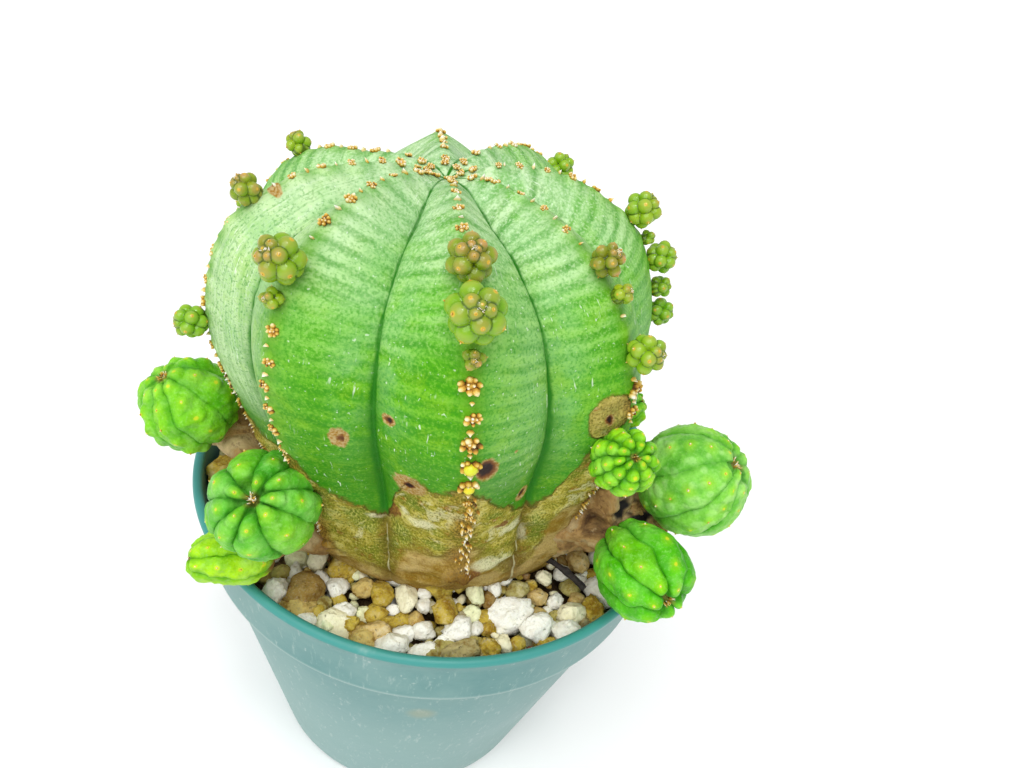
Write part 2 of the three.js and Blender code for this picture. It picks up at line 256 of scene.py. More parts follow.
def addTips(name, spots, material):
    # fine drawn-out grains from each spot's places, axes, sizes and tones
    places, axes, sizes, tones = (np.concatenate(column) for column in zip(*spots))
    return addLumps(name, places, turnTo(axes), sizes, material, {"tone": tones}, columns=5, point=0.6)


def fit(piece, slot, *nodes):
    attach(piece, "root")
    if nodes:
        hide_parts(*nodes)
    return piece


# ---- finishes
class Shader:
    # a node tree with one short method for each kind of node; layers are laid over its running colour
    def __init__(self, name, tones=None):
        self.material = bpy.data.materials.new(name)
        self.material.use_nodes = True
        self.tree = self.material.node_tree
        self.surface = self.tree.nodes["Principled BSDF"]
        self.where = self.node("TexCoord").outputs["Object"]
        self.tones = tones or {}
        self.colour = None

    def node(self, kind):
        return self.tree.nodes.new("ShaderNode" + kind)

    def tone(self, named):
        return self.tones[named] if isinstance(named, str) else named

    def feed(self, socket, value):
        # a socket is linked, a number or a colour is set; a string names one of the tones
        value = self.tone(value)
        if isinstance(value, bpy.types.NodeSocket):
            self.tree.links.new(value, socket)
        elif socket.type == "RGBA":
            socket.default_value = (*value, 1)
        else:
            socket.default_value = value

    def calc(self, operation, a, b=0.0):
        node = self.node("Math")
        node.operation = operation
        self.feed(node.inputs[0], a)
        self.feed(node.inputs[1], b)
        return node.outputs[0]

    def times(self, product, *others):
        for other in others:
            product = self.calc("MULTIPLY", product, other)
        return product

    def plus(self, a, b):
        return self.calc("ADD", a, b)

    def minus(self, a, b):
        return self.calc("SUBTRACT", a, b)

    def sway(self, noise, width, middle=0.5):
        # noise that swings both ways round nothing
        return self.times(self.minus(noise, middle), width)

    def stretch(self, vector, factors):
        node = self.node("VectorMath")
        node.operation = "MULTIPLY"
        self.feed(node.inputs[0], vector)
        self.feed(node.inputs[1], factors)
        return node.outputs[0]

    def noise(self, perUnit, vector=None, detail=3.0, rough=0.5, twist=0.0):
        node = self.node("TexNoise")
        self.feed(node.inputs["Vector"], vector or self.where)
        self.feed(node.inputs["Scale"], perUnit)
        self.feed(node.inputs["Detail"], detail)
        self.feed(node.inputs["Roughness"], rough)
        self.feed(node.inputs["Distortion"], twist)
        return node.outputs["Fac"]

    def skinNoise(self, across, along, **look):
        # noise on the piece's own map: so many grains to a rib across it, and to a millimetre along it
        return self.noise(1.0, self.stretch(self.uv(), (across, along, 1)), **look)

    def cells(self, perUnit, vector=None, feature="F1"):
        node = self.node("TexVoronoi")
        node.feature = feature
        self.feed(node.inputs["Vector"], vector or self.where)
        self.feed(node.inputs["Scale"], perUnit)
        return node.outputs["Distance"]

    def value(self, name):
        node = self.node("Attribute")
        node.attribute_name = name
        return node.outputs["Fac"]

    def uv(self, name="skin"):
        node = self.node("UVMap")
        node.uv_map = name
        return node.outputs["UV"]

    def ease(self, value, low, high, start=0.0, end=1.0):
        # a soft S from start to end while the value goes from low to high
        node = self.node("MapRange")
        node.interpolation_type = "SMOOTHSTEP"
        for socket, number in zip(node.inputs[:5], (value, low, high, start, end)):
            self.feed(socket, number)
        return node.outputs[0]

    def mix(self, share, a, b, kind="MIX"):
        node = self.node("Mix")
        node.data_type = "RGBA"
        node.blend_type = kind
        self.feed(node.inputs["Factor"], share)
        self.feed(node.inputs[6], a)
        self.feed(node.inputs[7], b)
        return node.outputs[2]

    def ramp(self, value, stops):
        node = self.node("ValToRGB")
        while len(node.color_ramp.elements) < len(stops):
            node.color_ramp.elements.new(0.5)
        for element, (place, tone) in zip(node.color_ramp.elements, stops):
            element.position = place
            element.color = (*self.tone(tone), 1)
        self.feed(node.inputs[0], value)
        return node.outputs["Color"]

    def lay(self, tone, *shares, kind="MIX"):
        # a layer over the colour so far, as strong as the product of its shares
        self.colour = self.mix(self.times(*shares), self.colour, tone, kind)

    def bump(self, height, depth, under=None):
        # height from 0 to 1 stands for a relief of the given depth in millimetres
        node = self.node("Bump")
        self.feed(node.inputs["Height"], height)
        self.feed(node.inputs["Distance"], depth * mm)
        if under:
            self.feed(node.inputs["Normal"], under)
        return node.outputs["Normal"]

    def finish(self, rough, normal=None, softness=0.0, softDepth=(1.2, 1.6, 0.5), shine=0.5):
        self.feed(self.surface.inputs["Base Color"], self.colour)
        self.feed(self.surface.inputs["Roughness"], rough)
        self.surface.inputs["Specular IOR Level"].default_value = shine
        if softness:
            self.surface.inputs["Subsurface Weight"].default_value = softness
            self.surface.inputs["Subsurface Radius"].default_value = softDepth
            self.surface.inputs["Subsurface Scale"].default_value = mm
        if normal:
            self.feed(self.surface.inputs["Normal"], normal)
        return self.material


# ---- pot
potSizes = {
    "height": 70.0,
    "rimRadius": 45.0,
    "rimThickness": 1.7,
    "bandHeight": 12.6,
    "bandFootRadius": 43.3,
    "wallTopRadius": 41.9,
    "baseRadius": 28.5,
    "baseRounding": 1.5,
    "wallThickness": 1.3,
    "floorThickness": 2.2,
    "lipHeight": 1.6,
    "lipProud": 0.5,
    "drainHoles": 6,
    "drainRadius": 2.6,
    "drainRing": 19.0,
    "drainSides": 32,
    "stainPlace": (3.5, -38.5, 47.0),
    "sides": 192,
}
potColours = {
    "teal": (0.058, 0.215, 0.207),
    # painted highlight: the lip's brighter teal
    "lip": (0.045, 0.275, 0.250),
    "haze": (0.265, 0.405, 0.380),
    "dust": (0.56, 0.64, 0.60),
    "stain": (0.30, 0.30, 0.16),
}


def cornerArc(centre, radius, start, end, steps=6):
    # points of an arc in the profile's plane, angles in degrees from the outward direction
    a = np.radians(np.linspace(start, end, steps))
    return [(centre[0] + radius * math.cos(t), centre[1] + radius * math.sin(t)) for t in a]


def potProfile(p):
    # the wall's section, outside from the axis up, over the lip and down inside
    step = p["height"] - p["bandHeight"]
    bead = p["rimThickness"] / 2
    top = p["height"] - bead
    slope = (p["wallTopRadius"] - p["baseRadius"]) / step
    outside = [(0.01, 0.0), (10, 0.0), (18, 0.0), (p["baseRadius"] - p["baseRounding"] - 1, 0.0)]
    rounding = p["baseRounding"]
    outside += cornerArc((p["baseRadius"] - rounding, rounding), rounding, -90, -10)
    outside += [(p["baseRadius"] + slope * z, z) for z in np.linspace(3, step - 0.4, 18)]
    outside += cornerArc((p["bandFootRadius"] - 0.5, step + 0.5), 0.5, -90, -5, 5)
    lipFoot = p["height"] - p["lipHeight"]
    bandTop = p["rimRadius"] - p["lipProud"]
    bandFoot = p["bandFootRadius"]
    outside += [(bandFoot + (bandTop - bandFoot) * t, step + 0.6 + (lipFoot - step - 0.7) * t)
                for t in np.linspace(0, 1, 7)]
    outside += [(bandTop + 0.12, lipFoot + 0.12), (p["rimRadius"] - 0.08, lipFoot + 0.4)]
    outside += cornerArc((p["rimRadius"] - bead, top), bead, 0, 180, 13)
    inner = p["rimRadius"] - p["rimThickness"]
    shelf = p["bandFootRadius"] - p["wallThickness"]
    outside += [(inner - (inner - shelf) * t, top - 0.6 - (top - 0.6 - step - p["wallThickness"]) * t)
                for t in np.linspace(0, 1, 6)]
    innerTop, innerBase = p["wallTopRadius"] - p["wallThickness"], p["baseRadius"] - p["wallThickness"]
    outside += [(innerTop - (innerTop - innerBase) * t, step - (step - p["floorThickness"]) * t)
                for t in np.linspace(0, 1, 10)]
    outside += [(18, p["floorThickness"]), (10, p["floorThickness"]), (0.01, p["floorThickness"])]
    return np.array(outside)


def makePot(p, material):
    # the profile turned once round the axis, with the drain holes cut through its floor
    grid = turnedProfile(potProfile(p), p["sides"])
    pot = addBody("potShell", grid, (0, 0, 0), (0, 0, p["floorThickness"]), material)
    circle = np.arange(p["drainSides"]) * 2 * math.pi / p["drainSides"]
    low, high = -2.0, p["floorThickness"] + 2.0
    cutters = []
    for i in range(p["drainHoles"]):
        angle = 2 * math.pi * i / p["drainHoles"]
        centre = p["drainRing"] * np.array([math.cos(angle), math.sin(angle)])
        ring = centre + p["drainRadius"] * np.stack([np.cos(circle), np.sin(circle)], -1)
        grid = np.stack([np.column_stack([ring, np.full(len(ring), level)]) for level in (low, high)])
        cutters.append(addBody("cutter%d" % i, grid, (*centre, low), (*centre, high), material))
        cut = pot.modifiers.new("cut", "BOOLEAN")
        cut.operation = "DIFFERENCE"
        cut.object = cutters[-1]
        cut.solver = "EXACT"
    drilled = bpy.data.meshes.new_from_object(pot.evaluated_get(bpy.context.evaluated_depsgraph_get()))
    pot.modifiers.clear()
    pot.data = drilled
    drilled.name = "potShell"
    for cutter in cutters:
        bpy.data.objects.remove(cutter)
    return pot


def potPlastic(tones, p):
    # hazy plastic with scuffs, specks and one stain; the lip is cleaner and painted a brighter teal as a
    # painted highlight, and dust lies under the band's foot
    s = Shader("hazyTealPlastic", tones)
    apart = s.node("SeparateXYZ")
    s.feed(apart.inputs[0], s.where)
    z = apart.outputs["Z"]
    lipFoot = p["height"] - p["lipHeight"]
    bandFoot = p["height"] - p["bandHeight"]
    cloudy = s.noise(55, detail=5, rough=0.62)
    scuffs = s.noise(1, s.stretch(s.where, (900, 900, 140)), detail=4, rough=0.7)
    speck = s.noise(950, detail=2)
    s.colour = s.mix(s.times(s.ease(cloudy, 0.30, 0.72), 0.55), "teal", "haze")
    s.lay("haze", s.times(s.ease(z, 60 * mm, 20 * mm), 0.45))
    s.lay("dust", s.ease(scuffs, 0.56, 0.74), 0.35)
    s.lay("dust", s.ease(speck, 0.68, 0.76), 0.35)
    # painted highlight: the lip's brighter teal stands in for light along its rounded top
    litLipTone = s.mix(s.times(s.ease(cloudy, 0.62, 0.80), 0.6), "lip", "dust")
    s.lay(litLipTone, s.ease(z, lipFoot * mm, (lipFoot + 0.4) * mm))
    above = s.ease(z, (bandFoot + 1.2) * mm, (bandFoot + 0.3) * mm)
    s.lay("dust", above, s.ease(z, (bandFoot - 0.4) * mm, (bandFoot + 0.1) * mm, 0.0, 0.35))
    spot = s.node("VectorMath")
    spot.operation = "DISTANCE"
    s.feed(spot.inputs[0], s.where)
    s.feed(spot.inputs[1], [size * mm for size in p["stainPlace"]])
    away = s.plus(spot.outputs["Value"], s.times(cloudy, 2 * mm))
    s.lay("stain", s.ease(away, 4.5 * mm, 2 * mm), 0.5)
    rough = s.ease(cloudy, 0.3, 0.7, 0.34, 0.52)
    return s.finish(rough, s.bump(s.noise(420, detail=4, rough=0.6), 0.05), shine=0.45)


# ---- stem
stemShape = {
    "foot": (-0.2, -4.0),
    "lean": (-0.0925, -0.082),
    "leanFrom": 70.0,
    "ribAngles": (12, 55, 104, 148, 189, 247, 295, 327),
    "crownDrop": (0, 0, 0.3, 1.2, 2.4, 3.4, 0.8, 0),
    "ribDepth": 4.2,
    "ribSharpness": 1.35,
    "widerIsDeeper": 0.6,
    "evenRib": 45.0,
    "furrowFades": (66, 96),
    "crownFlat": 16.0,
    "dropHeights": (100, 125),
    "swellHeight": 69.0,
    "swellReach": 9.0,
    "swellSpread": 38.0,
    "swells": ((-75, 2.6), (80, 1.6)),
    "crest": ((0, 130.2), (7, 132.8), (14, 133), (21, 131.2), (29.5, 125), (33.9, 115.5), (34.8, 106),
              (32.6, 93.5), (29.6, 81), (27.2, 71.5), (24, 65), (15, 55), (6, 42), (0, 34)),
    "crestLength": 125,         # along the outline, to turn shares into millimetres
    "columnsPerRib": 32,
    "rows": 276,
    "rootRows": 20,
    "crease": 0.34,
    "creaseWidth": 0.42,
    "bands": 0.05,        # height and size of the bands across the skin, and of its unevenness
    "bandSize": 2.6,
    "unevenness": 0.22,
    "unevenSize": 19,
    "eyeMound": 0.34,
    "pointMound": 0.24,
    "puckers": 0.30,      # of the cork: their height, and a coarse and a fine size
    "puckerSizes": (5.5, 2.4),
    "scarDepth": 0.32,
    "scarRim": 0.10,
    "footKnob": 1.5,      # a crust on each crest at the soil: height, place and half width
    "crustShare": 0.658,
    "crustHalf": 2.6,
    "corkLip": 0.16,
    "litCrownLeft": (-52, 36),    # soft areas of paler green: angle round the stem and half width; the crown's left one and the lit flank are painted light
    "washedRight": (27, 12),
    "litFlank": (-61, 25),
    "eyeShares": (0.095, 0.0466, 0.00095),   # first, step and how fast the step shrinks
    "eyeStarts": (0.5, 0.0, 0.4, 0.9, 0.2, 0.7, 0.1, 0.5),   # each rib's own stagger, in steps
    "eyesPerRib": 13,
    "eyeSpacing": 5.6,
}
corkEdge = {   # angle round the stem: share of the crest's length where the green skin ends
    -180: 0.60, -150: 0.56, -120: 0.60, -90: 0.55, -75: 0.53, -62: 0.56, -50: 0.57, -42: 0.55, -32: 0.505,
    -26: 0.55, -16: 0.57, -9.8: 0.580, -5: 0.52, -1: 0.498, 6: 0.504, 12: 0.488, 16: 0.503, 21: 0.531,
    29: 0.557, 36: 0.561, 40: 0.545, 43: 0.505, 46: 0.475, 56: 0.47, 70: 0.53, 90: 0.57, 115: 0.60,
    140: 0.56, 165: 0.61, 180: 0.60,
}
scars = (   # angle, share, half width, half height, how dark
    (-18.0, 0.467, 1.2, 2.0, 0.62), (-6.2, 0.425, 1.0, 1.0, 0.75), (15.9, 0.463, 1.5, 2.0, 1.0),
    (29.2, 0.532, 1.1, 1.7, 0.70), (-1.5, 0.508, 2.3, 2.3, 0.45), (23.5, 0.449, 0.5, 0.5, 0.9),
    (-63.5, 0.253, 1.3, 0.8, 0.10), (45.0, 0.417, 0.65, 0.5, 0.8), (48.4, 0.438, 0.8, 1.0, 0.95),
    (160.0, 0.40, 1.6, 1.1, 0.6), (-140.0, 0.47, 1.3, 1.0, 0.8),
)
corkPatch = (48.5, 0.434, 3.7, 3.7)   # angle, share and half sizes of a corky patch on the green skin
corkSpots = {   # the same for soft patches in the cork
    "pale": ((2.2, 0.562, 2.2, 1.9), (28.6, 0.581, 2.6, 1.6), (22.5, 0.640, 3.6, 1.9),
             (-3.5, 0.556, 1.1, 1.0), (-13.4, 0.582, 1.2, 1.0), (34.0, 0.610, 1.2, 2.4),
             (120.0, 0.60, 2.6, 1.8), (-110.0, 0.62, 2.4, 2.0)),
    "green": ((-1.0, 0.535, 2.8, 1.9), (-5.0, 0.595, 2.4, 3.0), (10.4, 0.563, 1.4, 1.9),
              (4.9, 0.592, 2.2, 1.3), (-16.5, 0.589, 3.4, 3.4), (39.5, 0.605, 2.2, 4.2),
              (-8.6, 0.620, 1.5, 3.2), (21.0, 0.545, 1.6, 0.9), (150.0, 0.60, 3.0, 2.6),
              (-75.0, 0.61, 3.2, 2.4)),
    "rust": ((24.3, 0.566, 1.3, 1.0), (-7.7, 0.566, 1.3, 2.2), (15.2, 0.662, 2.4, 2.2),
             (-20.0, 0.545, 0.9, 0.7)),
}


def ribSpread(q, s):
    # q counts ribs from the first crest; the angle, the way to the next crest, the rib's width and number
    angles = np.array(s["ribAngles"], float)
    k = np.floor(q).astype(int)
    way = q - k
    here, ahead = angles[k % len(angles)], angles[(k + 1) % len(angles)]
    width = (ahead - here) % 360
    return here + width * way, way, width, k % len(angles)


def stemSkin(q, share, s, extra=0.0):
    # the crest's outline turned round the axis, sunk between the crests by a power of the way to the furrow,
    # swollen near the soil, lowered behind the crown and sheared by the lean
    angle, way, width, k = ribSpread(q, s)
    crest = spline(s["crest"], share)
    step = 1e-3
    along = spline(s["crest"], np.clip(share + step, 0, 1)) - spline(s["crest"], np.clip(share - step, 0, 1))
    along /= np.linalg.norm(along, axis=-1, keepdims=True)
    r, z = crest[..., 0], crest[..., 1]
    toFurrow = 1 - np.abs(2 * way - 1)
    depth = s["ribDepth"] * smooth(0, s["crownFlat"], r) * smooth(*s["furrowFades"], z)
    depth = depth * (width / s["evenRib"]) ** s["widerIsDeeper"] * toFurrow ** s["ribSharpness"]
    swell = 0
    for at, height in s["swells"]:
        away = (angle - at + 180) % 360 - 180
        swell = swell + height * np.exp(-(away / s["swellSpread"]) ** 2)
    swell = swell * np.exp(-((z - s["swellHeight"]) / s["swellReach"]) ** 2)
    out = extra + swell - depth
    radius = np.maximum(r - along[..., 1] * out, 0)
    height = z + along[..., 0] * out
    drops = np.array(s["crownDrop"], float)
    drop = drops[k] * (1 - way) + drops[(k + 1) % len(drops)] * way
    height = height - drop * smooth(*s["dropHeights"], height) * smooth(0, s["crownFlat"], radius)
    a = np.radians(angle)
    rise = height - s["leanFrom"]
    return np.stack([radius * np.sin(a) + s["foot"][0] + s["lean"][0] * rise,
                     -radius * np.cos(a) + s["foot"][1] + s["lean"][1] * rise, height], -1)


def eyeShare(i, s):
    # where the i-th bud eye of a crest stands, as a share of the crest's length
    first, step, shrink = s["eyeShares"]
    return first + step * i - shrink * i * i


def eyeCount(share, s):
    # the other way round: how many eyes lie above a share, with its fraction
    i = np.arange(-2, 20, 0.05)
    return np.interp(share, eyeShare(i, s), i)


def skinDistances(q, share, s):
    # millimetres across to the nearest crest and furrow, and down the crest from the apex
    _, way, width, _ = ribSpread(q, s)
    fine = np.linspace(0, 1, 4001)
    steps = np.linalg.norm(np.diff(spline(s["crest"], fine), axis=0), axis=1)
    down = np.interp(share, fine, np.concatenate([[0], np.cumsum(steps)]))
    half = 0.5 * np.radians(width) * np.maximum(spline(s["crest"], share)[..., 0], 0.5)
    toFurrow = 1 - np.abs(2 * way - 1)
    return half * toFurrow, half * (1 - toFurrow), down


def markDistance(q, share, s, angle, markShare, halfWidth, halfHeight):
    # distance from a mark's middle, 1 at its edge
    here, _, _, _ = ribSpread(q, s)
    away = np.radians((here - angle + 180) % 360 - 180) * np.maximum(spline(s["crest"], share)[..., 0], 0.5)
    _, _, down = skinDistances(q, share, s)
    _, _, markDown = skinDistances(np.zeros(1), np.full(1, markShare), s)
    return np.hypot(away / halfWidth, (down - markDown) / halfHeight)


def stemRelief(s, q, share, crestMm, furrowMm, down, fromEye, fromPoint, ranged, cork):
    # all that is finer than the plain skin, as a push out of it: creases, mounds, bands, dents, corky puckers
    plain = stemSkin(q, share, s)
    r, z = spline(s["crest"], share)[..., 0], spline(s["crest"], share)[..., 1]
    corky = smooth(-0.5, 1.5, cork)
    out = -s["crease"] * np.exp(-(furrowMm / s["creaseWidth"]) ** 2) * smooth(4, 12, r) * smooth(60, 75, z)
    out += s["eyeMound"] * np.exp(-(fromEye / 1.5) ** 2 - (crestMm / 2.0) ** 2) * ranged
    out += s["pointMound"] * np.exp(-(fromPoint / 0.55) ** 2 - (crestMm / 1.7) ** 2) * ranged
    waved = np.stack([q * 2.2, down * 1.0 + 0.5 * np.sin(q * 9)], -1)
    banded = (1 - corky) * smooth(0.3, 2.5, crestMm) * smooth(6, 14, r)
    out += s["bands"] * ripples(waved, s["bandSize"], 3) * banded
    out += s["unevenness"] * ripples(plain, s["unevenSize"], 5) * smooth(8, 18, r)
    coarse, fine = s["puckerSizes"]
    out += s["puckers"] * (ripples(plain * (1, 1, 1.7), coarse, 7) + 0.5 * ripples(plain, fine, 8)) * corky
    crust = np.exp(-(crestMm / s["crustHalf"]) ** 2 - ((share - s["crustShare"]) / 0.018) ** 2)
    out += s["footKnob"] * crust * (1 + 0.6 * ripples(plain, 2.0, 12))
    out += s["corkLip"] * np.exp(-((cork - 0.3) / 0.7) ** 2) * (share < 0.7)
    return out, crust


def skinZones(angle, share, s):
    # soft paler areas: bells round the stem, faded down the crest; the right one starts at the first crest;
    # the crown's left one and the lit flank are painted light
    def bell(at, half):
        return np.exp(-(((angle - at + 180) % 360 - 180) / half) ** 4)

    at, half = s["washedRight"]
    right = 0.34 * np.exp(-((angle - at) / half) ** 2)
    right = right * smooth(0.22, 0.32, share) * (1 - smooth(0.46, 0.54, share))
    washed = bell(*s["litCrownLeft"]) * (1 - smooth(0.19, 0.36, share)) + right
    return {"washed": washed, "litFlank": bell(*s["litFlank"]) * (1 - smooth(0.50, 0.56, share))}


def makeStem(s, material):
    # the plain skin with its relief and scars, and as attributes the distances and zones that colour it
    ribs = len(s["ribAngles"])
    columns = gatheredColumns(ribs, s["columnsPerRib"]) - 0.5
    dense = np.linspace(0.006, 0.73, s["rows"] - s["rootRows"])
    rows = np.concatenate([dense, np.linspace(0.735, 0.985, s["rootRows"])])
    share, q = np.meshgrid(rows, columns, indexing="ij")
    crestMm, furrowMm, down = skinDistances(q, share, s)
    angle, _, _, _ = ribSpread(q, s)
    count = eyeCount(share, s) - np.array(s["eyeStarts"])[np.round(q).astype(int) % ribs]
    ranged = smooth(0.05, 0.09, share) * (1 - smooth(0.55, 0.62, share))
    fromEye = (count - np.round(count)) * s["eyeSpacing"]
    fromPoint = (count - np.floor(count) - 0.5) * s["eyeSpacing"]
    edge = np.interp((angle + 180) % 360 - 180, list(corkEdge), list(corkEdge.values()))
    patch = markDistance(q, share, s, *corkPatch)
    cork = np.maximum((share - edge) * s["crestLength"], (1 - patch) * 8)
    out, crust = stemRelief(s, q, share, crestMm, furrowMm, down, fromEye, fromPoint, ranged, cork)
    pale = np.full(q.shape, 9.0)
    dark = np.full(q.shape, 9.0)
    for at, markShare, halfWidth, halfHeight, darkness in scars:
        d = markDistance(q, share, s, at, markShare, halfWidth, halfHeight)
        out -= s["scarDepth"] * darkness * np.exp(-(d / 0.75) ** 2)
        out += s["scarRim"] * np.exp(-((d - 1.1) / 0.35) ** 2)
        pale = np.minimum(pale, d)
        dark = np.minimum(dark, d / max(darkness, 0.1))
    values = {
        **skinZones(angle, share, s), "patch": smooth(1.25, 0.80, patch),
        "furrowMm": furrowMm, "crestMm": crestMm, "downMm": down, "corkMm": cork,
        "paleScar": pale, "darkScar": dark, "crust": crust,
        "pointNear": np.exp(-(fromPoint / 1.6) ** 2 - (crestMm / 1.8) ** 2) * ranged,
    }
    for kind, marks in corkSpots.items():
        nearest = np.min([markDistance(q, share, s, *mark) for mark in marks], axis=0)
        values[kind + "Spot"] = np.exp(-nearest ** 2)

    def skinUv(corners):
        # ribs across and millimetres down, from a corner's column and row
        u = np.interp(corners[..., 0], np.arange(len(columns) + 1), np.append(columns, columns[0] + ribs))
        return np.stack([u, np.interp(corners[..., 1], np.arange(len(rows)), down[:, 0])], -1)

    top, foot = (stemSkin(np.zeros(1), np.full(1, end), s)[0] for end in (0.0, 1.0))
    return addBody("stemSkin", stemSkin(q, share, s, out), top, foot, material, values, skinUv)


stemColours = {
    # the crown's bloom, partly painted light
    "litBloom": (0.52, 0.73, 0.40),
    "fresh": (0.175, 0.50, 0.050),
    "leaf": (0.082, 0.375, 0.003),
    # deep green low down, partly painted shade; also the painted shade beside the furrows
    "deep": (0.038, 0.205, 0.002),
    "bandPale": (0.25, 0.56, 0.060),
    "bandWhite": (0.71, 0.87, 0.60),
    "bandDark": (0.034, 0.245, 0.007),
    # painted light on the left flank
    "litFlank": (0.60, 0.77, 0.46),
    "wash": (0.60, 0.80, 0.48),
    "shade": (0.22, 0.43, 0.17),
    "haze": (0.25, 0.52, 0.20),
    "lime": (0.31, 0.57, 0.012),
    # painted shade along the furrows' creases
    "furrow": (0.022, 0.185, 0.008),
    "speck": (0.80, 0.90, 0.74),
    "corkPale": (0.64, 0.58, 0.17),
    "corkOlive": (0.26, 0.25, 0.020),
    "corkGold": (0.45, 0.38, 0.050),
    "corkGreen": (0.10, 0.22, 0.012),
    "corkBrown": (0.125, 0.065, 0.010),
    "corkDark": (0.085, 0.090, 0.010),
    "corkRust": (0.33, 0.175, 0.022),
    "corkFoot": (0.58, 0.40, 0.16),
    "corkWhite": (0.76, 0.74, 0.46),
    "corkTan": (0.44, 0.345, 0.105),
    "corkMoss": (0.135, 0.200, 0.016),
    "scarPale": (0.50, 0.38, 0.17),
    "scarDark": (0.028, 0.014, 0.012),
    "scarRed": (0.19, 0.070, 0.018),
}


def greenLayers(s):
    # pale bloom on the crown and deep green lower down, partly painted light and shade: lighter at the top
    # where light falls, darker below as the skin turns from it; the change is broken by broad noise; one
    # flank is painted lighter as painted light
    litFlank = s.value("litFlank")
    s.fall = s.plus(s.down, s.sway(s.noise(70, detail=3), 36))
    # partly painted light and shade: the ramp runs from pale at the top, where light falls, to dark low down,
    # over the skin's own bloom and deep green
    s.colour = s.ramp(s.ease(s.fall, 5, 75), [(0.0, "litBloom"), (0.30, "fresh"), (0.52, "leaf"), (1.0, "deep")])
    s.lay("wash", s.value("washed"), s.ease(s.blotch, 0.35, 0.62, 0.60, 1.0))
    streaks = s.skinNoise(26, 0.09, detail=4, rough=0.6)
    # painted light: the flank's paler streaked green stands in for light falling on it
    s.lay("litFlank", s.times(litFlank, s.ease(streaks, 0.25, 0.62, 0.45, 1.0)))
    lines = s.skinNoise(40, 0.07, detail=3, rough=0.6, twist=0.3)
    flank = s.ease(litFlank, 0.2, 0.9)
    s.lay("shade", s.ease(lines, 0.50, 0.36), s.times(flank, 0.52))
    s.lay("speck", s.ease(lines, 0.58, 0.68), s.times(flank, 0.50))
    s.calm = s.ease(litFlank, 0.2, 0.9, 1.0, 0.20)


def bandLayers(s):
    # even waves down the skin, bent a little and cut into lengths by noise, with finer hairs between them
    push = s.skinNoise(1.1, 0.05, detail=2)
    strength = s.skinNoise(2.2, 0.15, detail=3, rough=0.6)
    wave = s.calc("SINE", s.plus(s.times(s.down, 2.5), s.times(push, 9)))
    hair = s.skinNoise(9.0, 1.9, detail=4, rough=0.65)
    patchy = s.noise(120, detail=3, rough=0.6)
    young = s.ease(s.fall, 44, 8)
    top = s.times(s.ease(s.fall, 80, 10, 0.10, 1.0), s.calm)
    s.pale = s.mix(young, "bandPale", "bandWhite")
    s.lay(s.pale, s.times(s.ease(wave, 0.0, 0.9), s.ease(strength, 0.36, 0.56, 0.12, 0.42)), top)
    s.lay("bandDark", s.times(s.ease(wave, 0.2, -0.9), s.ease(strength, 0.38, 0.58, 0.14, 0.55)), s.calm)
    s.lay(s.pale, s.ease(s.band, 0.52, 0.68), s.times(top, 0.40))
    s.lay("bandDark", s.ease(s.band, 0.48, 0.32), s.times(s.calm, 0.55))
    s.lay(s.pale, s.ease(hair, 0.52, 0.66), s.ease(top, 0.0, 1.0, 0.16, 0.10))
    s.lay("bandDark", s.ease(hair, 0.49, 0.36), s.times(s.calm, 0.22))
    s.lay("lime", s.ease(s.blotch, 0.50, 0.72), s.ease(s.fall, 10, 50, 0.05, 0.34))
    s.lay("fresh", s.ease(patchy, 0.50, 0.36), s.times(young, 0.60))


def fineLayers(s):
    # haze beside the furrows, grain, white scratches and dots, then crests, points, painted shade beside the
    # furrows and the furrows' dark lines, also painted shade
    haze = s.times(s.ease(s.furrow, 7.5, 2.0), s.ease(s.fall, 66, 36))
    s.lay("haze", haze, s.ease(s.blotch, 0.60, 0.40, 0.0, 0.45))
    s.lay(s.pale, s.ease(s.grain, 0.50, 0.64), s.ease(s.fall, 30, 70, 0.42, 0.26))
    s.lay("bandDark", s.ease(s.grain, 0.49, 0.35), s.ease(s.fall, 0, 50, 0.25, 0.60))
    scratch = s.skinNoise(52, 0.42, detail=2, rough=0.5, twist=0.4)
    scratched = s.times(s.ease(s.noise(105, detail=2), 0.50, 0.62), s.ease(s.furrow, 12, 5, 0.25, 1.0))
    s.lay("speck", s.ease(scratch, 0.64, 0.72), s.times(scratched, 0.8))
    s.lay("speck", s.ease(s.noise(1900, detail=1), 0.71, 0.77), 0.50)
    s.lay("lime", s.ease(s.crest, 2.0, 0.2), s.ease(s.down, 6, 30, 0.0, 0.30))
    s.lay("bandDark", s.value("pointNear"), 0.60)
    # painted shade: deeper green beside the furrows lower down, where the creases hold shade
    furrowShade = s.times(s.ease(s.furrow, 3.2, 0.2), s.ease(s.blotch, 0.64, 0.42, 0.35, 0.95))
    s.lay("deep", furrowShade, s.ease(s.down, 30, 62))
    # painted shade: a dark line down each furrow's crease, widening lower down
    widening = s.calc("DIVIDE", s.thin, s.ease(s.down, 26, 64, 1.0, 3.4))
    s.lay("furrow", s.ease(widening, 0.36, 0.12), s.ease(s.blotch, 0.36, 0.56, 0.75, 1.0))


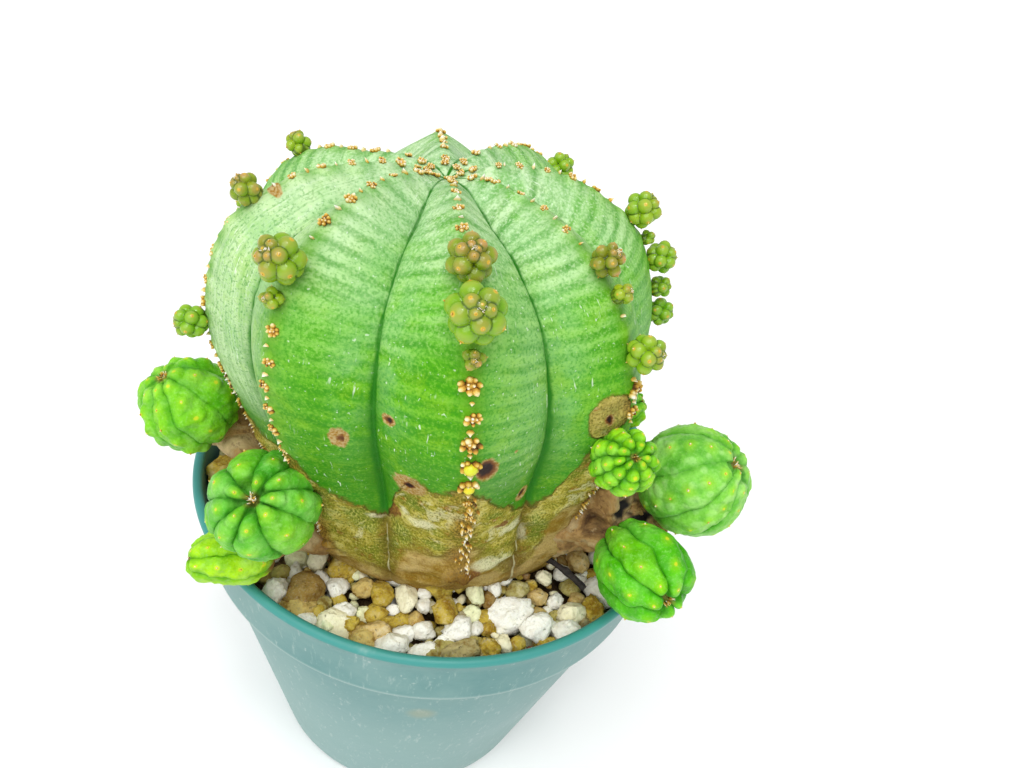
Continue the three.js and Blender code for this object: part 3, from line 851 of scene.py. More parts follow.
def corkLayers(s):
    # mottled wood with greenish and chalky islands, pinker towards the soil, fibres across and flecks along,
    # and painted shade in its furrows
    mottle = s.plus(s.times(s.corkNoise, 0.68), s.times(s.blotch, 0.32))
    stops = [(0.34, "corkRust"), (0.43, "corkOlive"), (0.52, "corkGold"), (0.63, "corkPale")]
    s.colour = s.ramp(mottle, stops)
    stray = s.sway(s.corkNoise, 1.8)
    paleSpot, greenSpot, rustSpot = (s.plus(s.value(kind + "Spot"), stray)
                                     for kind in ("pale", "green", "rust"))
    island = s.noise(170, detail=5, rough=0.65, twist=0.4)
    greenish = s.times(s.ease(island, 0.48, 0.58), s.ease(s.fleck, 0.60, 0.42, 0.25, 1.0))
    s.lay("corkGreen", greenish, s.ease(s.cork, 17, 7, 0.0, 0.60))
    s.lay("corkMoss", s.ease(greenSpot, 0.20, 0.80), s.ease(s.fleck, 0.62, 0.42, 0.50, 0.85))
    chalky = s.times(s.ease(island, 0.41, 0.34), s.ease(s.fleck, 0.36, 0.50))
    s.lay("corkWhite", chalky, s.ease(s.cork, 20, 10, 0.0, 0.55))
    footward = s.plus(s.cork, s.sway(s.noise(75, detail=3), 18))
    footTone = s.mix(s.ease(s.blotch, 0.36, 0.60), "corkRust", "corkFoot")
    s.lay(footTone, s.ease(footward, 12.0, 16.0, 0.0, 0.80))
    vein = s.calc("ABSOLUTE", s.minus(footward, 13.0))
    s.lay("corkBrown", s.ease(vein, 1.8, 0.1), s.ease(s.blotch, 0.40, 0.56, 0.05, 0.65))
    s.lay("corkBrown", s.ease(s.fibre, 0.46, 0.32, 0.0, 0.28))
    s.lay("corkPale", s.ease(s.fibre, 0.56, 0.70, 0.0, 0.25))
    s.lay("corkTan", s.onPatch, 0.60)
    speckled = s.mix(s.ease(footward, 8.0, 14.0), "corkDark", "corkBrown")
    smoother = s.ease(footward, 9.0, 17.0, 1.0, 0.45)
    s.lay(speckled, s.ease(s.fleck, 0.48, 0.38), s.times(smoother, 0.62))
    s.lay("corkPale", s.ease(s.fleck, 0.54, 0.66), s.times(smoother, 0.60))
    s.lay("corkWhite", s.ease(paleSpot, 0.22, 0.80), s.ease(s.fleck, 0.36, 0.50, 0.40, 0.82))
    scorched = s.mix(s.ease(s.fleck, 0.50, 0.64), "scarRed", "corkRust")
    s.lay(scorched, s.ease(rustSpot, 0.30, 0.60, 0.0, 0.90))
    nearCrest = s.plus(s.crest, s.sway(s.corkNoise, 4.0))
    crestTone = s.mix(s.ease(s.fleck, 0.42, 0.58), "corkBrown", "corkRust")
    s.lay(crestTone, s.ease(nearCrest, 3.2, 0.6), s.ease(s.blotch, 0.38, 0.58, 0.25, 0.75))
    # painted shade: brown down the cork's furrows
    s.lay("corkBrown", s.ease(s.furrow, 2.4, 0.25, 0.0, 0.50))
    broken = s.ease(s.skinNoise(0.8, 0.16, detail=3), 0.47, 0.55, 0.0, 0.55)
    s.lay("corkWhite", s.ease(s.thin, 0.28, 0.12), broken)
    crusty = s.times(s.value("crust"), s.ease(s.fleck, 0.40, 0.60, 0.45, 1.0))
    crustTone = s.mix(s.ease(s.corkNoise, 0.42, 0.56), "corkBrown", "corkRust")
    s.lay(crustTone, s.ease(crusty, 0.25, 0.70, 0.0, 0.85))


def scarLayers(s):
    # each scar is pale to its edge, with a red rim and a dark middle, all with ragged edges
    ragged = s.sway(s.noise(900, detail=3), 0.6)
    paleScar, darkScar = (s.plus(s.value(kind + "Scar"), ragged) for kind in ("pale", "dark"))
    s.lay(s.mix(s.ease(s.grain, 0.35, 0.65), "corkRust", "scarPale"), s.ease(paleScar, 1.25, 0.95))
    s.lay("scarRed", s.ease(darkScar, 1.10, 0.80))
    s.lay("scarDark", s.ease(darkScar, 0.90, 0.50))


def stemSkinFinish(tones):
    # green skin, then cork over it below its wobbling edge, with a brown rim along the edge, then scars
    s = Shader("ribbedGreenSkin", tones)
    s.down, s.furrow, s.crest, s.cork = (s.value(name + "Mm") for name in ("down", "furrow", "crest", "cork"))
    s.onPatch = s.value("patch")
    s.blotch = s.noise(210, detail=4, rough=0.6)
    s.grain = s.noise(2500, detail=3, rough=0.6)
    s.band = s.skinNoise(2.6, 0.50, detail=5, rough=0.62)
    s.corkNoise = s.noise(420, detail=6, rough=0.70)
    s.fleck = s.skinNoise(72, 2.2, detail=3, rough=0.6)
    s.fibre = s.skinNoise(8, 1.6, detail=5, rough=0.7, twist=0.3)
    s.thin = s.plus(s.furrow, s.times(s.ease(s.noise(300, detail=3), 0.40, 0.62), 0.14))
    greenLayers(s)
    bandLayers(s)
    fineLayers(s)
    green = s.colour
    corkLayers(s)
    wood, s.colour = s.colour, green
    inside = s.plus(s.cork, s.sway(s.noise(260, detail=5, rough=0.65), 5.0))
    isCork = s.ease(inside, -0.2, 0.5)
    s.lay(wood, isCork)
    rim = s.times(s.ease(inside, -0.8, 0.0), s.ease(inside, 0.9, 0.2), s.ease(s.onPatch, 0.2, 0.8, 1.0, 0.35))
    s.lay("corkBrown", rim, s.ease(s.corkNoise, 0.40, 0.55, 0.15, 0.62))
    scarLayers(s)
    rough = s.plus(s.ease(s.blotch, 0.3, 0.7, 0.40, 0.50), s.times(isCork, 0.30))
    skinRelief = s.bump(s.plus(s.times(s.band, 0.5), s.times(s.grain, 0.30)), 0.14)
    corkHeight = s.plus(s.plus(s.times(s.corkNoise, 0.8), s.times(s.fibre, 0.3)), s.times(s.fleck, 0.25))
    return s.finish(rough, s.bump(s.times(corkHeight, isCork), 0.6, skinRelief), softness=0.05, shine=0.10)


# ---- bud eyes, white points and tufts on the crests
eyeLook = {
    "lobes": 7,             # in the ring of one eye
    "inner": 3,
    "ring": (1.05, 0.76),   # half width across the rib and along it
    "lobe": (0.50, 0.44, 0.52),
    "pad": (1.05, 0.80, 0.40),
    "fewerRibs": (5, 6, 7, 2, 3),   # these ribs' eyes stay small all the way down
    "sizes": (0.51, 0.15, 0.34),   # on the crown, more below it, and more again on the large-eyed ribs
    "footSize": 0.52,
    "footFrom": 0.50,       # the foot's first eyes and the last, in shares of the crest's length
    "lastShare": 0.60,
    "crownLight": 0.10,
    "offCrest": 0.012,      # how far eyes stray from the crest, in ribs
    "out": 0.26,
    "footGrains": 58,
    "drift": (0.485, 0.66, 0.072),   # first share, last share, share of a rib
    "lean": 0.80,           # how far the lobes lean outwards
    "clear": 0.9,           # kept free round shoots and offsets
    "tuftShares": (0.030, 0.052, 0.074),
    "pointSize": (0.52, 0.22, 0.46),
    "grainSize": (0.34, 0.28, 0.50),
    "seed": 21,
}
eyeColours = {
    "dark": (0.11, 0.050, 0.008),
    "rust": (0.42, 0.20, 0.018),
    "tan": (0.68, 0.43, 0.060),
    "straw": (0.86, 0.74, 0.40),
    "chalk": (0.93, 0.90, 0.78),
}


def crestFrames(q, share, s, out=0.0):
    # place on the skin, with the directions across the rib, along it and out of it
    step = 1e-3
    place = stemSkin(q, share, s, out)
    along = stemSkin(q, share + step, s) - stemSkin(q, share - step, s)
    across = stemSkin(q + step, share, s) - stemSkin(q - step, share, s)
    along /= np.linalg.norm(along, axis=-1, keepdims=True)
    across -= (across * along).sum(-1, keepdims=True) * along
    across /= np.linalg.norm(across, axis=-1, keepdims=True)
    normal = np.cross(along, across)
    outward = place - place.mean(0) * (1, 1, 0) - np.array([0, 0, 95])
    normal *= np.sign((normal * outward).sum(-1, keepdims=True))
    return place, across, along, normal


def farFrom(places, balls, clear):
    # true where a place is clear of every ball (centre and radius)
    centres = np.array([centre for centre, _ in balls])
    radii = np.array([radius for _, radius in balls])
    return (np.linalg.norm(places[:, None] - centres[None], axis=-1) > radii + clear).all(1)


def footDrift(k, share, look):
    # the front row leaves its crest on the corky foot: a share of a rib, growing evenly down the foot
    start, end, most = look["drift"]
    return most * np.clip((share - start) / (end - start), 0, 1) * (k == 0)


def eyeRows(perRib, shift, s):
    # rib and crest share of every eye, shifted by a part of the step between two
    k, i = np.meshgrid(np.arange(len(s["ribAngles"])), np.arange(perRib), indexing="ij")
    return k.ravel(), eyeShare(i + shift + np.array(s["eyeStarts"])[k], s).ravel()


def eyePlaces(look, s, balls, draw):
    # where the eyes and the crown's tufts stand with their directions, sizes, and how light they are
    k, share = eyeRows(s["eyesPerRib"] + 1, 0, s)
    tuftK, tuftShare = np.meshgrid(np.arange(len(s["ribAngles"])), look["tuftShares"], indexing="ij")
    tuft = np.concatenate([np.zeros(len(k)), np.ones(tuftK.size)])
    k = np.concatenate([k, tuftK.ravel()])
    share = np.concatenate([share, tuftShare.ravel() + draw.uniform(-0.008, 0.008, tuftK.size)])
    small, more, most = look["sizes"]
    large = smooth(0.31, 0.36, share) * ~np.isin(k, look["fewerRibs"])
    size = small + more * smooth(0.1, 0.3, share) + most * large
    size = np.where((tuft > 0) | (share > look["footFrom"]), look["footSize"], size)
    size = size * draw.uniform(0.80, 1.15, len(k))
    across = k + draw.normal(0, look["offCrest"], len(k)) + footDrift(k, share, look)
    frames = crestFrames(across, share, s, look["out"])
    keep = farFrom(frames[0], balls, look["clear"]) & (share < look["lastShare"])
    light = look["crownLight"] * smooth(0.34, 0.15, share[keep])
    return [x[keep] for x in frames], size[keep], tuft[keep], light


def makeEyes(look, s, balls, material):
    # an eye is a ring of small leaning scales round two or three more, wider across the rib than along it
    draw = np.random.default_rng(look["seed"])
    (place, across, along, normal), size, tuft, light = eyePlaces(look, s, balls, draw)
    eyes, ring, inner = len(place), look["lobes"], look["inner"]
    n = ring + inner + 1
    kind = np.repeat([0, 1, 2], [ring, inner, 1])[None]   # 0 in the ring, 1 inside it, 2 the pad
    angle = np.arange(n) * np.where(kind > 0, 2 * math.pi / inner, 2 * math.pi / ring)
    angle = angle + draw.uniform(-0.25, 0.25, (eyes, n))
    reach = np.where(kind == 2, 0.0, np.where(kind == 1, 0.34, 1.0)) * draw.uniform(0.8, 1.1, (eyes, n))
    side = reach * np.cos(angle) * look["ring"][0] * size[:, None]
    down = reach * np.sin(angle) * look["ring"][1] * size[:, None]
    lift = np.where(kind == 2, -0.10, np.where(kind == 1, 0.16, 0.04)) * size[:, None]
    centre = place[:, None] + side[..., None] * across[:, None] + down[..., None] * along[:, None]
    centre = centre + lift[..., None] * normal[:, None]
    leaning = look["lean"] * reach
    axis = normal[:, None] + (leaning * np.cos(angle))[..., None] * across[:, None]
    axis = axis + (leaning * np.sin(angle))[..., None] * along[:, None]
    shrink = np.where(kind == 1, 0.62, 1.0) * size[:, None] * draw.uniform(0.75, 1.2, (eyes, n))
    scale = np.where((kind == 2)[..., None], look["pad"], look["lobe"]) * shrink[..., None]
    tone = draw.normal(0.38, 0.11, (eyes, n)) + (0.03 * tuft + light)[:, None] + 0.12 * (kind == 1)
    tone = np.clip(np.where(kind == 2, 0.16, tone), 0, 1)
    frames = turnTo(axis.reshape(-1, 3)).reshape(eyes, n, 3, 3)
    frames[:, -1] = np.stack([across, along, normal], -1)
    return addLumps("budEyes", centre.reshape(-1, 3), frames.reshape(-1, 3, 3), scale.reshape(-1, 3),
                    material, {"tone": tone.ravel()}, point=0.35)


def makePoints(look, s, balls, material):
    # a chalky point half way between every two eyes, and a finer row of them down the corky foot
    draw = np.random.default_rng(look["seed"] + 1)
    k, share = eyeRows(s["eyesPerRib"], -0.5, s)
    footK, footI = np.meshgrid(np.arange(len(s["ribAngles"])), np.arange(look["footGrains"]), indexing="ij")
    foot = 0.50 + 0.17 * (footI.ravel() + draw.uniform(0, 1, footI.size)) / look["footGrains"]
    fine = np.concatenate([np.zeros(k.size), np.ones(footK.size)])
    k = np.concatenate([k, footK.ravel()])
    share = np.concatenate([share, foot])
    aside = np.where(fine > 0, draw.normal(0, 0.026, len(k)), draw.normal(0, 0.006, len(k)))
    place, across, along, normal = crestFrames(k + aside + footDrift(k, share, look), share, s, 0.24)
    keep = farFrom(place, balls, 0.5) & (share < 0.675)
    size = np.where(fine > 0, 0.78, 1.0) * draw.uniform(0.7, 1.15, len(k))
    axis = normal + 0.55 * along * draw.uniform(0.2, 1, (len(k), 1))
    axis = axis + 0.12 * across * draw.normal(0, 1, (len(k), 1))
    third = axis / np.linalg.norm(axis, axis=1, keepdims=True)
    first = across - (across * third).sum(1, keepdims=True) * third
    first /= np.linalg.norm(first, axis=1, keepdims=True)
    frames = np.stack([first, np.cross(third, first), third], -1)
    sizes = np.where(fine[:, None] > 0, look["grainSize"], look["pointSize"]) * size[:, None]
    tone = np.clip(np.where(fine > 0, draw.normal(0.60, 0.24, len(k)), draw.normal(0.74, 0.08, len(k))), 0, 1)
    return addLumps("whitePoints", place[keep], frames[keep], sizes[keep],
                    material, {"tone": tone[keep]}, point=0.8)


def scaleFinish(tones):
    # dark at the root as painted shade between the lobes, golden on the lobes, and chalky at their tips,
    # partly their own pale tips and partly a painted highlight
    s = Shader("driedScales", tones)
    # painted shade at each lump's root and painted highlight at its tip
    tone = s.plus(s.value("tone"), s.sway(s.value("tip"), 0.55, 0.30))
    tone = s.plus(tone, s.sway(s.noise(1400, detail=2), 0.35))
    stops = [(0.10, "dark"), (0.30, "rust"), (0.52, "tan"), (0.80, "straw"), (1.0, "chalk")]
    s.colour = s.ramp(tone, stops)
    return s.finish(0.6, s.bump(s.noise(2600, detail=2), 0.05), softness=0.15, shine=0.3)


yellowBuds = ((0, 0.4545, 0.90), (0, 0.482, 0.74))   # rib, share, radius: waxy buds among the lowest eyes
budColours = {"yellow": (0.78, 0.60, 0.010), "lime": (0.62, 0.68, 0.030)}


def budFinish(tones):
    s = Shader("waxyYellowBud", tones)
    cloudy = s.noise(700, detail=3)
    s.colour = s.mix(s.ease(cloudy, 0.35, 0.62), "yellow", "lime")
    return s.finish(0.35, s.bump(cloudy, 0.05), softness=0.1, shine=0.45)


# ---- shoots: young balls of rounded tubercles that sit on the crests
shootPlaces = (   # rib, share of the crest's length, radius, how lime and how rusty it is
    (0, 0.256, 3.1, 0.35, 0.80), (0, 0.299, 3.8, 0.30, 0.25), (0, 0.333, 1.5, 0.35, 0.75),
    (1, 0.273, 2.4, 0.35, 0.90), (1, 0.303, 1.6, 0.95, 0.35), (1, 0.36, 2.8, 0.45, 0.20),
    (2, 0.296, 2.9, 0.60, 0.20), (2, 0.328, 1.3, 0.6, 0.3), (2, 0.358, 2.7, 0.45, 0.15),
    (2, 0.399, 2.0, 0.35, 0.10), (2, 0.439, 2.5, 0.25, 0.05),
    (3, 0.317, 2.6, 0.60, 0.15), (3, 0.43, 2.0, 0.4, 0.2),
    (4, 0.288, 1.1, 0.9, 0.5), (4, 0.37, 2.6, 0.5, 0.3), (4, 0.44, 1.5, 0.6, 0.3),
    (5, 0.263, 2.0, 0.7, 0.4), (5, 0.4, 2.7, 0.4, 0.25),
    (6, 0.274, 2.2, 0.55, 0.75), (6, 0.436, 2.5, 0.35, 0.05),
    (7, 0.297, 3.2, 0.45, 0.55), (7, 0.329, 1.5, 0.65, 0.35),
)
shootShape = {
    "sunk": 0.12,
    "tubercles": 18,
    "goldenTurn": 137.508,
    "seenRadius": (0.21, 0.60),   # a tubercle's, seen from the middle, at the tip and low down, in radians
    "fewer": (2.7, 1.3, 0.50),    # below the first radius tubercles grow, by the last share at the second
    "crowding": 0.88,
    "core": 0.52,
    "grid": (80, 52),
    "smallGrid": (44, 28),        # for shoots below the small radius
    "smallRadius": 1.8,
    "turn": 1.7,                  # how far each shoot is turned on from the one before, in radians
    "dots": 16,
    "tuft": 9,
    "tuftSize": (0.10, 0.07, 0.30),
    "seed": 5,
}


def shootTubercles(radius, turn, rust, shape):
    # numbered from the tip, each a golden turn on; they stand so close that their seen areas fill the sphere,
    # and a ball seen under angle a that reaches the shoot's radius has a radius of sin a / (1 + sin a)
    polar = np.linspace(0, 2.6, 400)
    most, least, more = shape["fewer"]
    small, large = np.array(shape["seenRadius"]) * (1 + more * (1 - smooth(least, most, radius)))
    seen = small + (large - small) * smooth(0.0, 1.15, polar)
    filled = np.cumsum(2 * np.sin(polar) / (seen ** 2 * shape["crowding"])) * (polar[1] - polar[0])
    n = np.arange(shape["tubercles"])
    polar = np.interp(n + 0.5, filled, polar)
    seen = small + (large - small) * smooth(0.0, 1.15, polar)
    azimuth = np.radians(shape["goldenTurn"]) * n + turn
    bulge = (1.06 - 0.12 * smooth(0.7, 0.95, rust)) * radius * np.sin(seen) / (1 + np.sin(seen))
    reach = radius * (0.90 + 0.10 * smooth(0.1, 0.9, polar)) - bulge
    middles = np.stack([np.sin(polar) * np.cos(azimuth), np.sin(polar) * np.sin(azimuth), np.cos(polar)], -1)
    return middles * reach[:, None], bulge


def shootSurface(directions, middles, bulges, core):
    # the farthest that a ray from the middle meets a tubercle's ball or the core, and how near its crown
    d = directions @ middles.T
    inside = bulges ** 2 - (middles ** 2).sum(1) + d ** 2
    hit = np.where(inside > 0, d + np.sqrt(np.maximum(inside, 0)), 0)
    best = hit.argmax(1)
    reach = np.maximum(hit.max(1), core)
    points = directions * reach[:, None]
    outward = middles[best] / np.linalg.norm(middles[best], axis=1, keepdims=True)
    crown = ((points - middles[best]) * outward).sum(1) / bulges[best]
    crown = np.where(hit.max(1) > core, crown, -1)
    second = np.sort(hit, axis=1)[:, -2]
    cleftShade = np.clip(1 - (reach - np.maximum(second, core)) / (0.17 * reach), 0, 1)
    return points, crown, cleftShade, best


def makeShoot(name, place, normal, radius, lime, rust, index, shape, material):
    # the farthest reach of its tubercles in every direction, and as attributes what colours each point
    middles, bulges = shootTubercles(radius, index * shape["turn"], rust, shape)
    grid = shape["smallGrid"] if radius < shape["smallRadius"] else shape["grid"]
    ball, quads, fans = unitBall(*grid)
    points, crown, cleftShade, best = shootSurface(ball, middles, bulges, shape["core"] * radius)
    values = {"crown": crown, "cleftShade": cleftShade, "tipward": np.arccos(np.clip(ball[:, 2], -1, 1)),
              "lime": np.full(len(ball), lime), "rust": np.full(len(ball), rust),
              "number": (best * 0.618) % 1}
    return addMesh(name, points @ turnTo(normal).T + place, [quads, fans], material, values)


def shootDots(entries, shape, material):
    # the straw-coloured point at the crown of every tubercle, and the tuft at each shoot's tip
    draw = np.random.default_rng(shape["seed"])
    dots, spikes = shape["dots"], shape["tuft"]
    spots = []
    for index, (place, normal, radius) in enumerate(entries):
        middles, bulges = shootTubercles(radius, index * shape["turn"], shootPlaces[index][4], shape)
        outward = middles / np.linalg.norm(middles, axis=1, keepdims=True)
        turned = turnTo(normal).T
        crowns = (middles + outward * bulges[:, None] * 0.97)[1:dots + 1]
        grain = radius * 0.026 + 0.05
        sizes = np.array([grain, grain, grain * 1.5]) * draw.uniform(0.5, 1.2, (dots, 1))
        axes = outward[1:dots + 1] @ turned
        spots.append((crowns @ turned + place, axes, sizes, draw.uniform(0.25, 0.62, dots)))
        lean = draw.normal(0, 0.45, (spikes, 3)) + [0, 0, 1]
        root = np.column_stack([draw.normal(0, 0.07, (spikes, 2)) * radius, np.full(spikes, radius * 0.80)])
        sizes = np.tile(shape["tuftSize"], (spikes, 1)) * (0.5 + radius / 5)
        spots.append((root @ turned + place, lean @ turned, sizes, draw.uniform(0.55, 1.0, spikes)))
    return addTips("shootTips", spots, material)


shootColours = {
    "leaf": (0.105, 0.375, 0.004),
    "lime": (0.36, 0.47, 0.005),
    "cleftShade": (0.026, 0.066, 0.003),
    "olive": (0.20, 0.235, 0.010),
    "blushAndHighlight": (0.53, 0.29, 0.105),
    "umber": (0.23, 0.150, 0.012),
    "gold": (0.74, 0.44, 0.030),
    "sheen": (0.38, 0.60, 0.060),
}


def shootFinish(tones):
    # lime or deep green with a painted sheen on the crowns, an olive tip, rusty where it is warm, a blush
    # that is partly a painted highlight, and painted shade in the clefts
    s = Shader("shootFlesh", tones)
    crown, cleftShade, tipward = s.value("crown"), s.value("cleftShade"), s.value("tipward")
    lime, rust, number = s.value("lime"), s.value("rust"), s.value("number")
    cloudy = s.noise(620, detail=3)
    s.colour = s.mix(s.times(lime, s.ease(number, 0.0, 1.0, 0.55, 1.0)), "leaf", "lime")
    # painted sheen: paler green on each tubercle's crown stands in for light on it
    s.lay("sheen", s.ease(crown, 0.1, 0.75, 0.0, 0.35))
    young = s.ease(tipward, 1.7, 0.25)
    s.lay("olive", s.ease(tipward, 0.85, 0.35), 0.45)
    warmth = s.times(rust, s.calc("MAXIMUM", young, s.ease(rust, 0.5, 0.9, 0.25, 0.75)))
    s.lay("umber", warmth, s.ease(cloudy, 0.25, 0.6, 0.60, 0.95))
    blushing = s.times(warmth, s.ease(number, 0.1, 0.9, 0.35, 0.95))
    # partly painted highlight: the blush on every crown, a little of it even where nothing is warm, brightens
    # the crowns
    s.lay("blushAndHighlight", s.ease(crown, 0.45, 0.92), s.plus(blushing, 0.08))
    s.lay("gold", s.ease(crown, 0.94, 0.99, 0.0, 0.80))
    # painted shade: dark in the clefts between tubercles
    s.lay("cleftShade", s.ease(cleftShade, 0.2, 0.95), 0.8)
    relief = s.bump(s.noise(2300, detail=2), 0.03)
    return s.finish(0.22, relief, softness=0.08, softDepth=(1.0, 1.5, 0.3), shine=0.45)


# ---- offsets: ribbed balls round the foot, on woody stalks
usualOffset = {   # what holds where an offset's own entry says nothing else
    "ribs": 8,
    "first": 0.34,        # polar angle of each rib's first tubercle, and from one to the next, in radians
    "spacing": 0.42,
    "flat": 2.0,          # the power of the fall towards a furrow, and its depth
    "round": 0.28,
    "knobs": 0.5,         # how far the tubercles stand apart, and the polar angle where that fades
    "knobReach": 0.6,
    "bump": 0.16,         # height and size of the low bump on each tubercle, in millimetres
    "bumpSize": 0.8,
    "drop": 0.5,          # depth above each rib's first tubercle, and at the tip, in millimetres
    "hole": 0.8,
    "dots": 0.7,          # the share of tubercles with a straw point
    "pale": 0.10,         # shares of other greens
    "lime": 0.35,
    "blue": 0.0,
    "tuft": 0.5,          # how light the scales in the tip are
}
ownOffsets = {
    "offset_left_high": {
        "centre": (-40.6, -18.0, 89.6), "tip": (-0.50, -0.17, 0.85), "radius": 7.4, "half": 7.2,
        "stalk": (-26, -10, 75), "stalkRadius": 3.8,
        "round": 0.22, "knobs": 0.25, "bump": 0.34, "bumpSize": 1.05, "drop": 0.3, "hole": 0.6,
        "dots": 0.6, "pale": 0.15, "lime": 0.30, "blue": 0.12, "tuft": 0.35,
    },
    "offset_left_front": {
        "centre": (-24.0, -35.2, 88.3), "tip": (-0.09, -0.64, 0.77), "radius": 8.1, "half": 7.4,
        "ribs": 9, "first": 0.33, "spacing": 0.54, "round": 0.36, "knobs": 1.0, "knobReach": 0.55,
        "drop": 1.8, "hole": 1.6, "dots": 0.95, "pale": 0.15, "lime": 0.12, "blue": 0.75, "tuft": 0.75,
    },
    "offset_left_low": {
        "centre": (-29.1, -35.3, 76.0), "tip": (-0.96, -0.25, 0.06), "radius": 4.4, "half": 6.2,
        "stalk": (-17, -25, 73), "stalkRadius": 2.4,
        "ribs": 6, "first": 0.40, "spacing": 0.55, "round": 0.30, "knobs": 0.3, "knobReach": 0.5,
        "hole": 0.5, "pale": 0.25, "lime": 1.0, "tuft": 0.4,
    },
    "offset_right_high": {
        "centre": (42.2, -15.0, 87.8), "tip": (0.60, -0.22, 0.77), "radius": 9.5, "half": 9.4,
        "stalk": (25, -9, 75.5), "stalkRadius": 4.4,
        "first": 0.30, "spacing": 0.35, "flat": 2.3, "round": 0.20, "knobs": 0.35, "knobReach": 0.4,
        "drop": 0.6, "hole": 1.0, "pale": 0.80, "lime": 0.14, "blue": 0.1,
    },
    "offset_right_front": {
        "centre": (25.0, -31.8, 103.8), "tip": (0.14, -0.60, 0.79), "radius": 4.9, "half": 4.7,
        "ribs": 9, "round": 0.24, "knobs": 0.80, "knobReach": 1.9, "bump": 0.04, "bumpSize": 0.6,
        "drop": 0.7, "dots": 0.55, "lime": 0.40, "tuft": 0.08,
    },
    "offset_right_low": {
        "centre": (34.1, -29.9, 80.4), "tip": (0.50, -0.86, 0.10), "radius": 7.6, "half": 8.4,
        "stalk": (21, -17, 75.5), "stalkRadius": 3.9,
        "ribs": 7, "first": 0.42, "spacing": 0.50, "flat": 2.1, "round": 0.36, "knobs": 0.75,
        "knobReach": 0.55, "bump": 0.10, "drop": 1.4, "hole": 1.5, "dots": 0.75, "pale": 0.0,
        "lime": 0.0, "tuft": 0.3,
    },
    "offset_right_rear": {
        "centre": (31.9, 3.1, 87.0), "tip": (0.83, 0.12, 0.54), "radius": 4.3, "half": 4.1,
        "ribs": 7, "first": 0.35, "spacing": 0.48, "knobs": 0.6, "knobReach": 0.8, "bumpSize": 0.6,
        "hole": 0.6,
    },
    "offset_rear": {
        "centre": (-7.5, 29.6, 83.5), "tip": (-0.20, 0.74, 0.64), "radius": 6.2, "half": 5.9,
        "first": 0.32, "spacing": 0.44, "bump": 0.18, "drop": 0.8, "pale": 0.3, "lime": 0.25, "blue": 0.3,
    },
}
offsets = {name: {**usualOffset, **own} for name, own in ownOffsets.items()}
ballShape = {
    "columnsPerRib": 24,
    "gridRows": 100,
    "holeReach": 0.17,
    "unevenRibs": 0.14,   # how far the ribs' angles stray from even, in ribs
    "wander": 0.11,       # how far the creases stray sideways, in ribs
    "wobble": 0.28,
    "wrinkles": 0.42,
    "unevenHeads": 0.07,
    "unevenCreases": 0.35,
    "tuft": 16,
    "tuftSize": (0.15, 0.10, 0.42),
    "seed": 31,
}


def ballSkin(q, polar, o, index, shape):
    # an ellipsoid cut back by a quarter-round fall towards each furrow, by a dome over each tubercle that
    # fades away from the tip, by a drop above each rib's first tubercle and by a hole at the tip, with a low
    # bump on each tubercle; q counts ribs. Also gives the distances to furrow and tubercle, and how deep
    # between domes a point lies
    swing = np.sin(polar)
    rib = np.round(q) % o["ribs"]
    s = 2 * np.abs(q - np.round(q))
    heads = o["first"] + shape["unevenHeads"] * np.sin(2.4 * rib + index)
    rowCount = (polar - heads) / o["spacing"] - 0.5 * (rib % 2)
    nearest = np.maximum(np.round(rowCount), 0)
    t = np.minimum(2 * np.abs(rowCount - nearest), 1)
    cell = math.pi / o["ribs"] * o["radius"] * swing
    rowHalf = 0.5 * o["spacing"] * o["radius"]
    ribFall = 1 - np.sqrt(np.clip(1 - s ** o["flat"], 0, 1))
    domeFall = 1 - np.sqrt(np.clip(1 - s ** 2.6 - t ** 2.6, 0, 1))
    knobs = o["knobs"] * np.exp(-(polar / o["knobReach"]) ** 2)
    away = np.hypot(s * cell, 2 * (rowCount - nearest) * rowHalf)
    a = 2 * math.pi / o["ribs"] * (q + shape["unevenRibs"] * np.sin(4 * math.pi * q / o["ribs"] + 2 * index))
    sizes = np.array([o["radius"], o["radius"], o["half"]])
    base = np.stack([swing * np.cos(a), swing * np.sin(a), np.cos(polar)], -1) * sizes
    deeper = 1 + shape["unevenCreases"] * ripples(base, 0.9 * o["radius"], 300 + index)
    out = -cell * o["round"] * ribFall * deeper - np.minimum(cell, rowHalf) * knobs * domeFall
    ringed = np.exp(-(away / o["bumpSize"]) ** 2) - 0.35 * np.exp(-((away / o["bumpSize"] - 1.7) / 0.5) ** 2)
    out = out + o["bump"] * ringed * np.minimum(1, 1.5 * swing)
    before = smooth(-0.35, -0.62, rowCount)
    out = out - o["drop"] * before * smooth(0, 0.2, polar)
    out = out - o["hole"] * np.exp(-(polar / shape["holeReach"]) ** 2)
    normal = base / sizes ** 2
    normal /= np.linalg.norm(normal, axis=-1, keepdims=True)
    between = np.clip(knobs * 1.4, 0, 1) * smooth(0.80, 1.15, np.hypot(s, t))
    between = np.maximum(between, before * (o["drop"] > 0.4))
    return base + normal * out[..., None], (1 - s) * cell, away, between


def strayed(grid, o, index, shape):
    # the skin swung a little round its axis and pushed in and out by soft noise, so no crease runs straight
    radius = o["radius"]
    swing = ripples(grid, 1.1 * radius, 140 + index) + 0.45 * ripples(grid, 0.45 * radius, 160 + index)
    turn = shape["wander"] * 2 * math.pi / o["ribs"] * swing
    x = grid[..., 0] * np.cos(turn) - grid[..., 1] * np.sin(turn)
    y = grid[..., 0] * np.sin(turn) + grid[..., 1] * np.cos(turn)
    push = ripples(grid, 1.1 * radius, 40 + index) + 0.35 * ripples(grid, 0.42 * radius, 180 + index)
    push = push + shape["wrinkles"] * ripples(grid, 1.35, 220 + index, 44)
    grow = 1 + shape["wobble"] / radius * push
    return np.stack([x * grow, y * grow, grid[..., 2] * grow], -1)


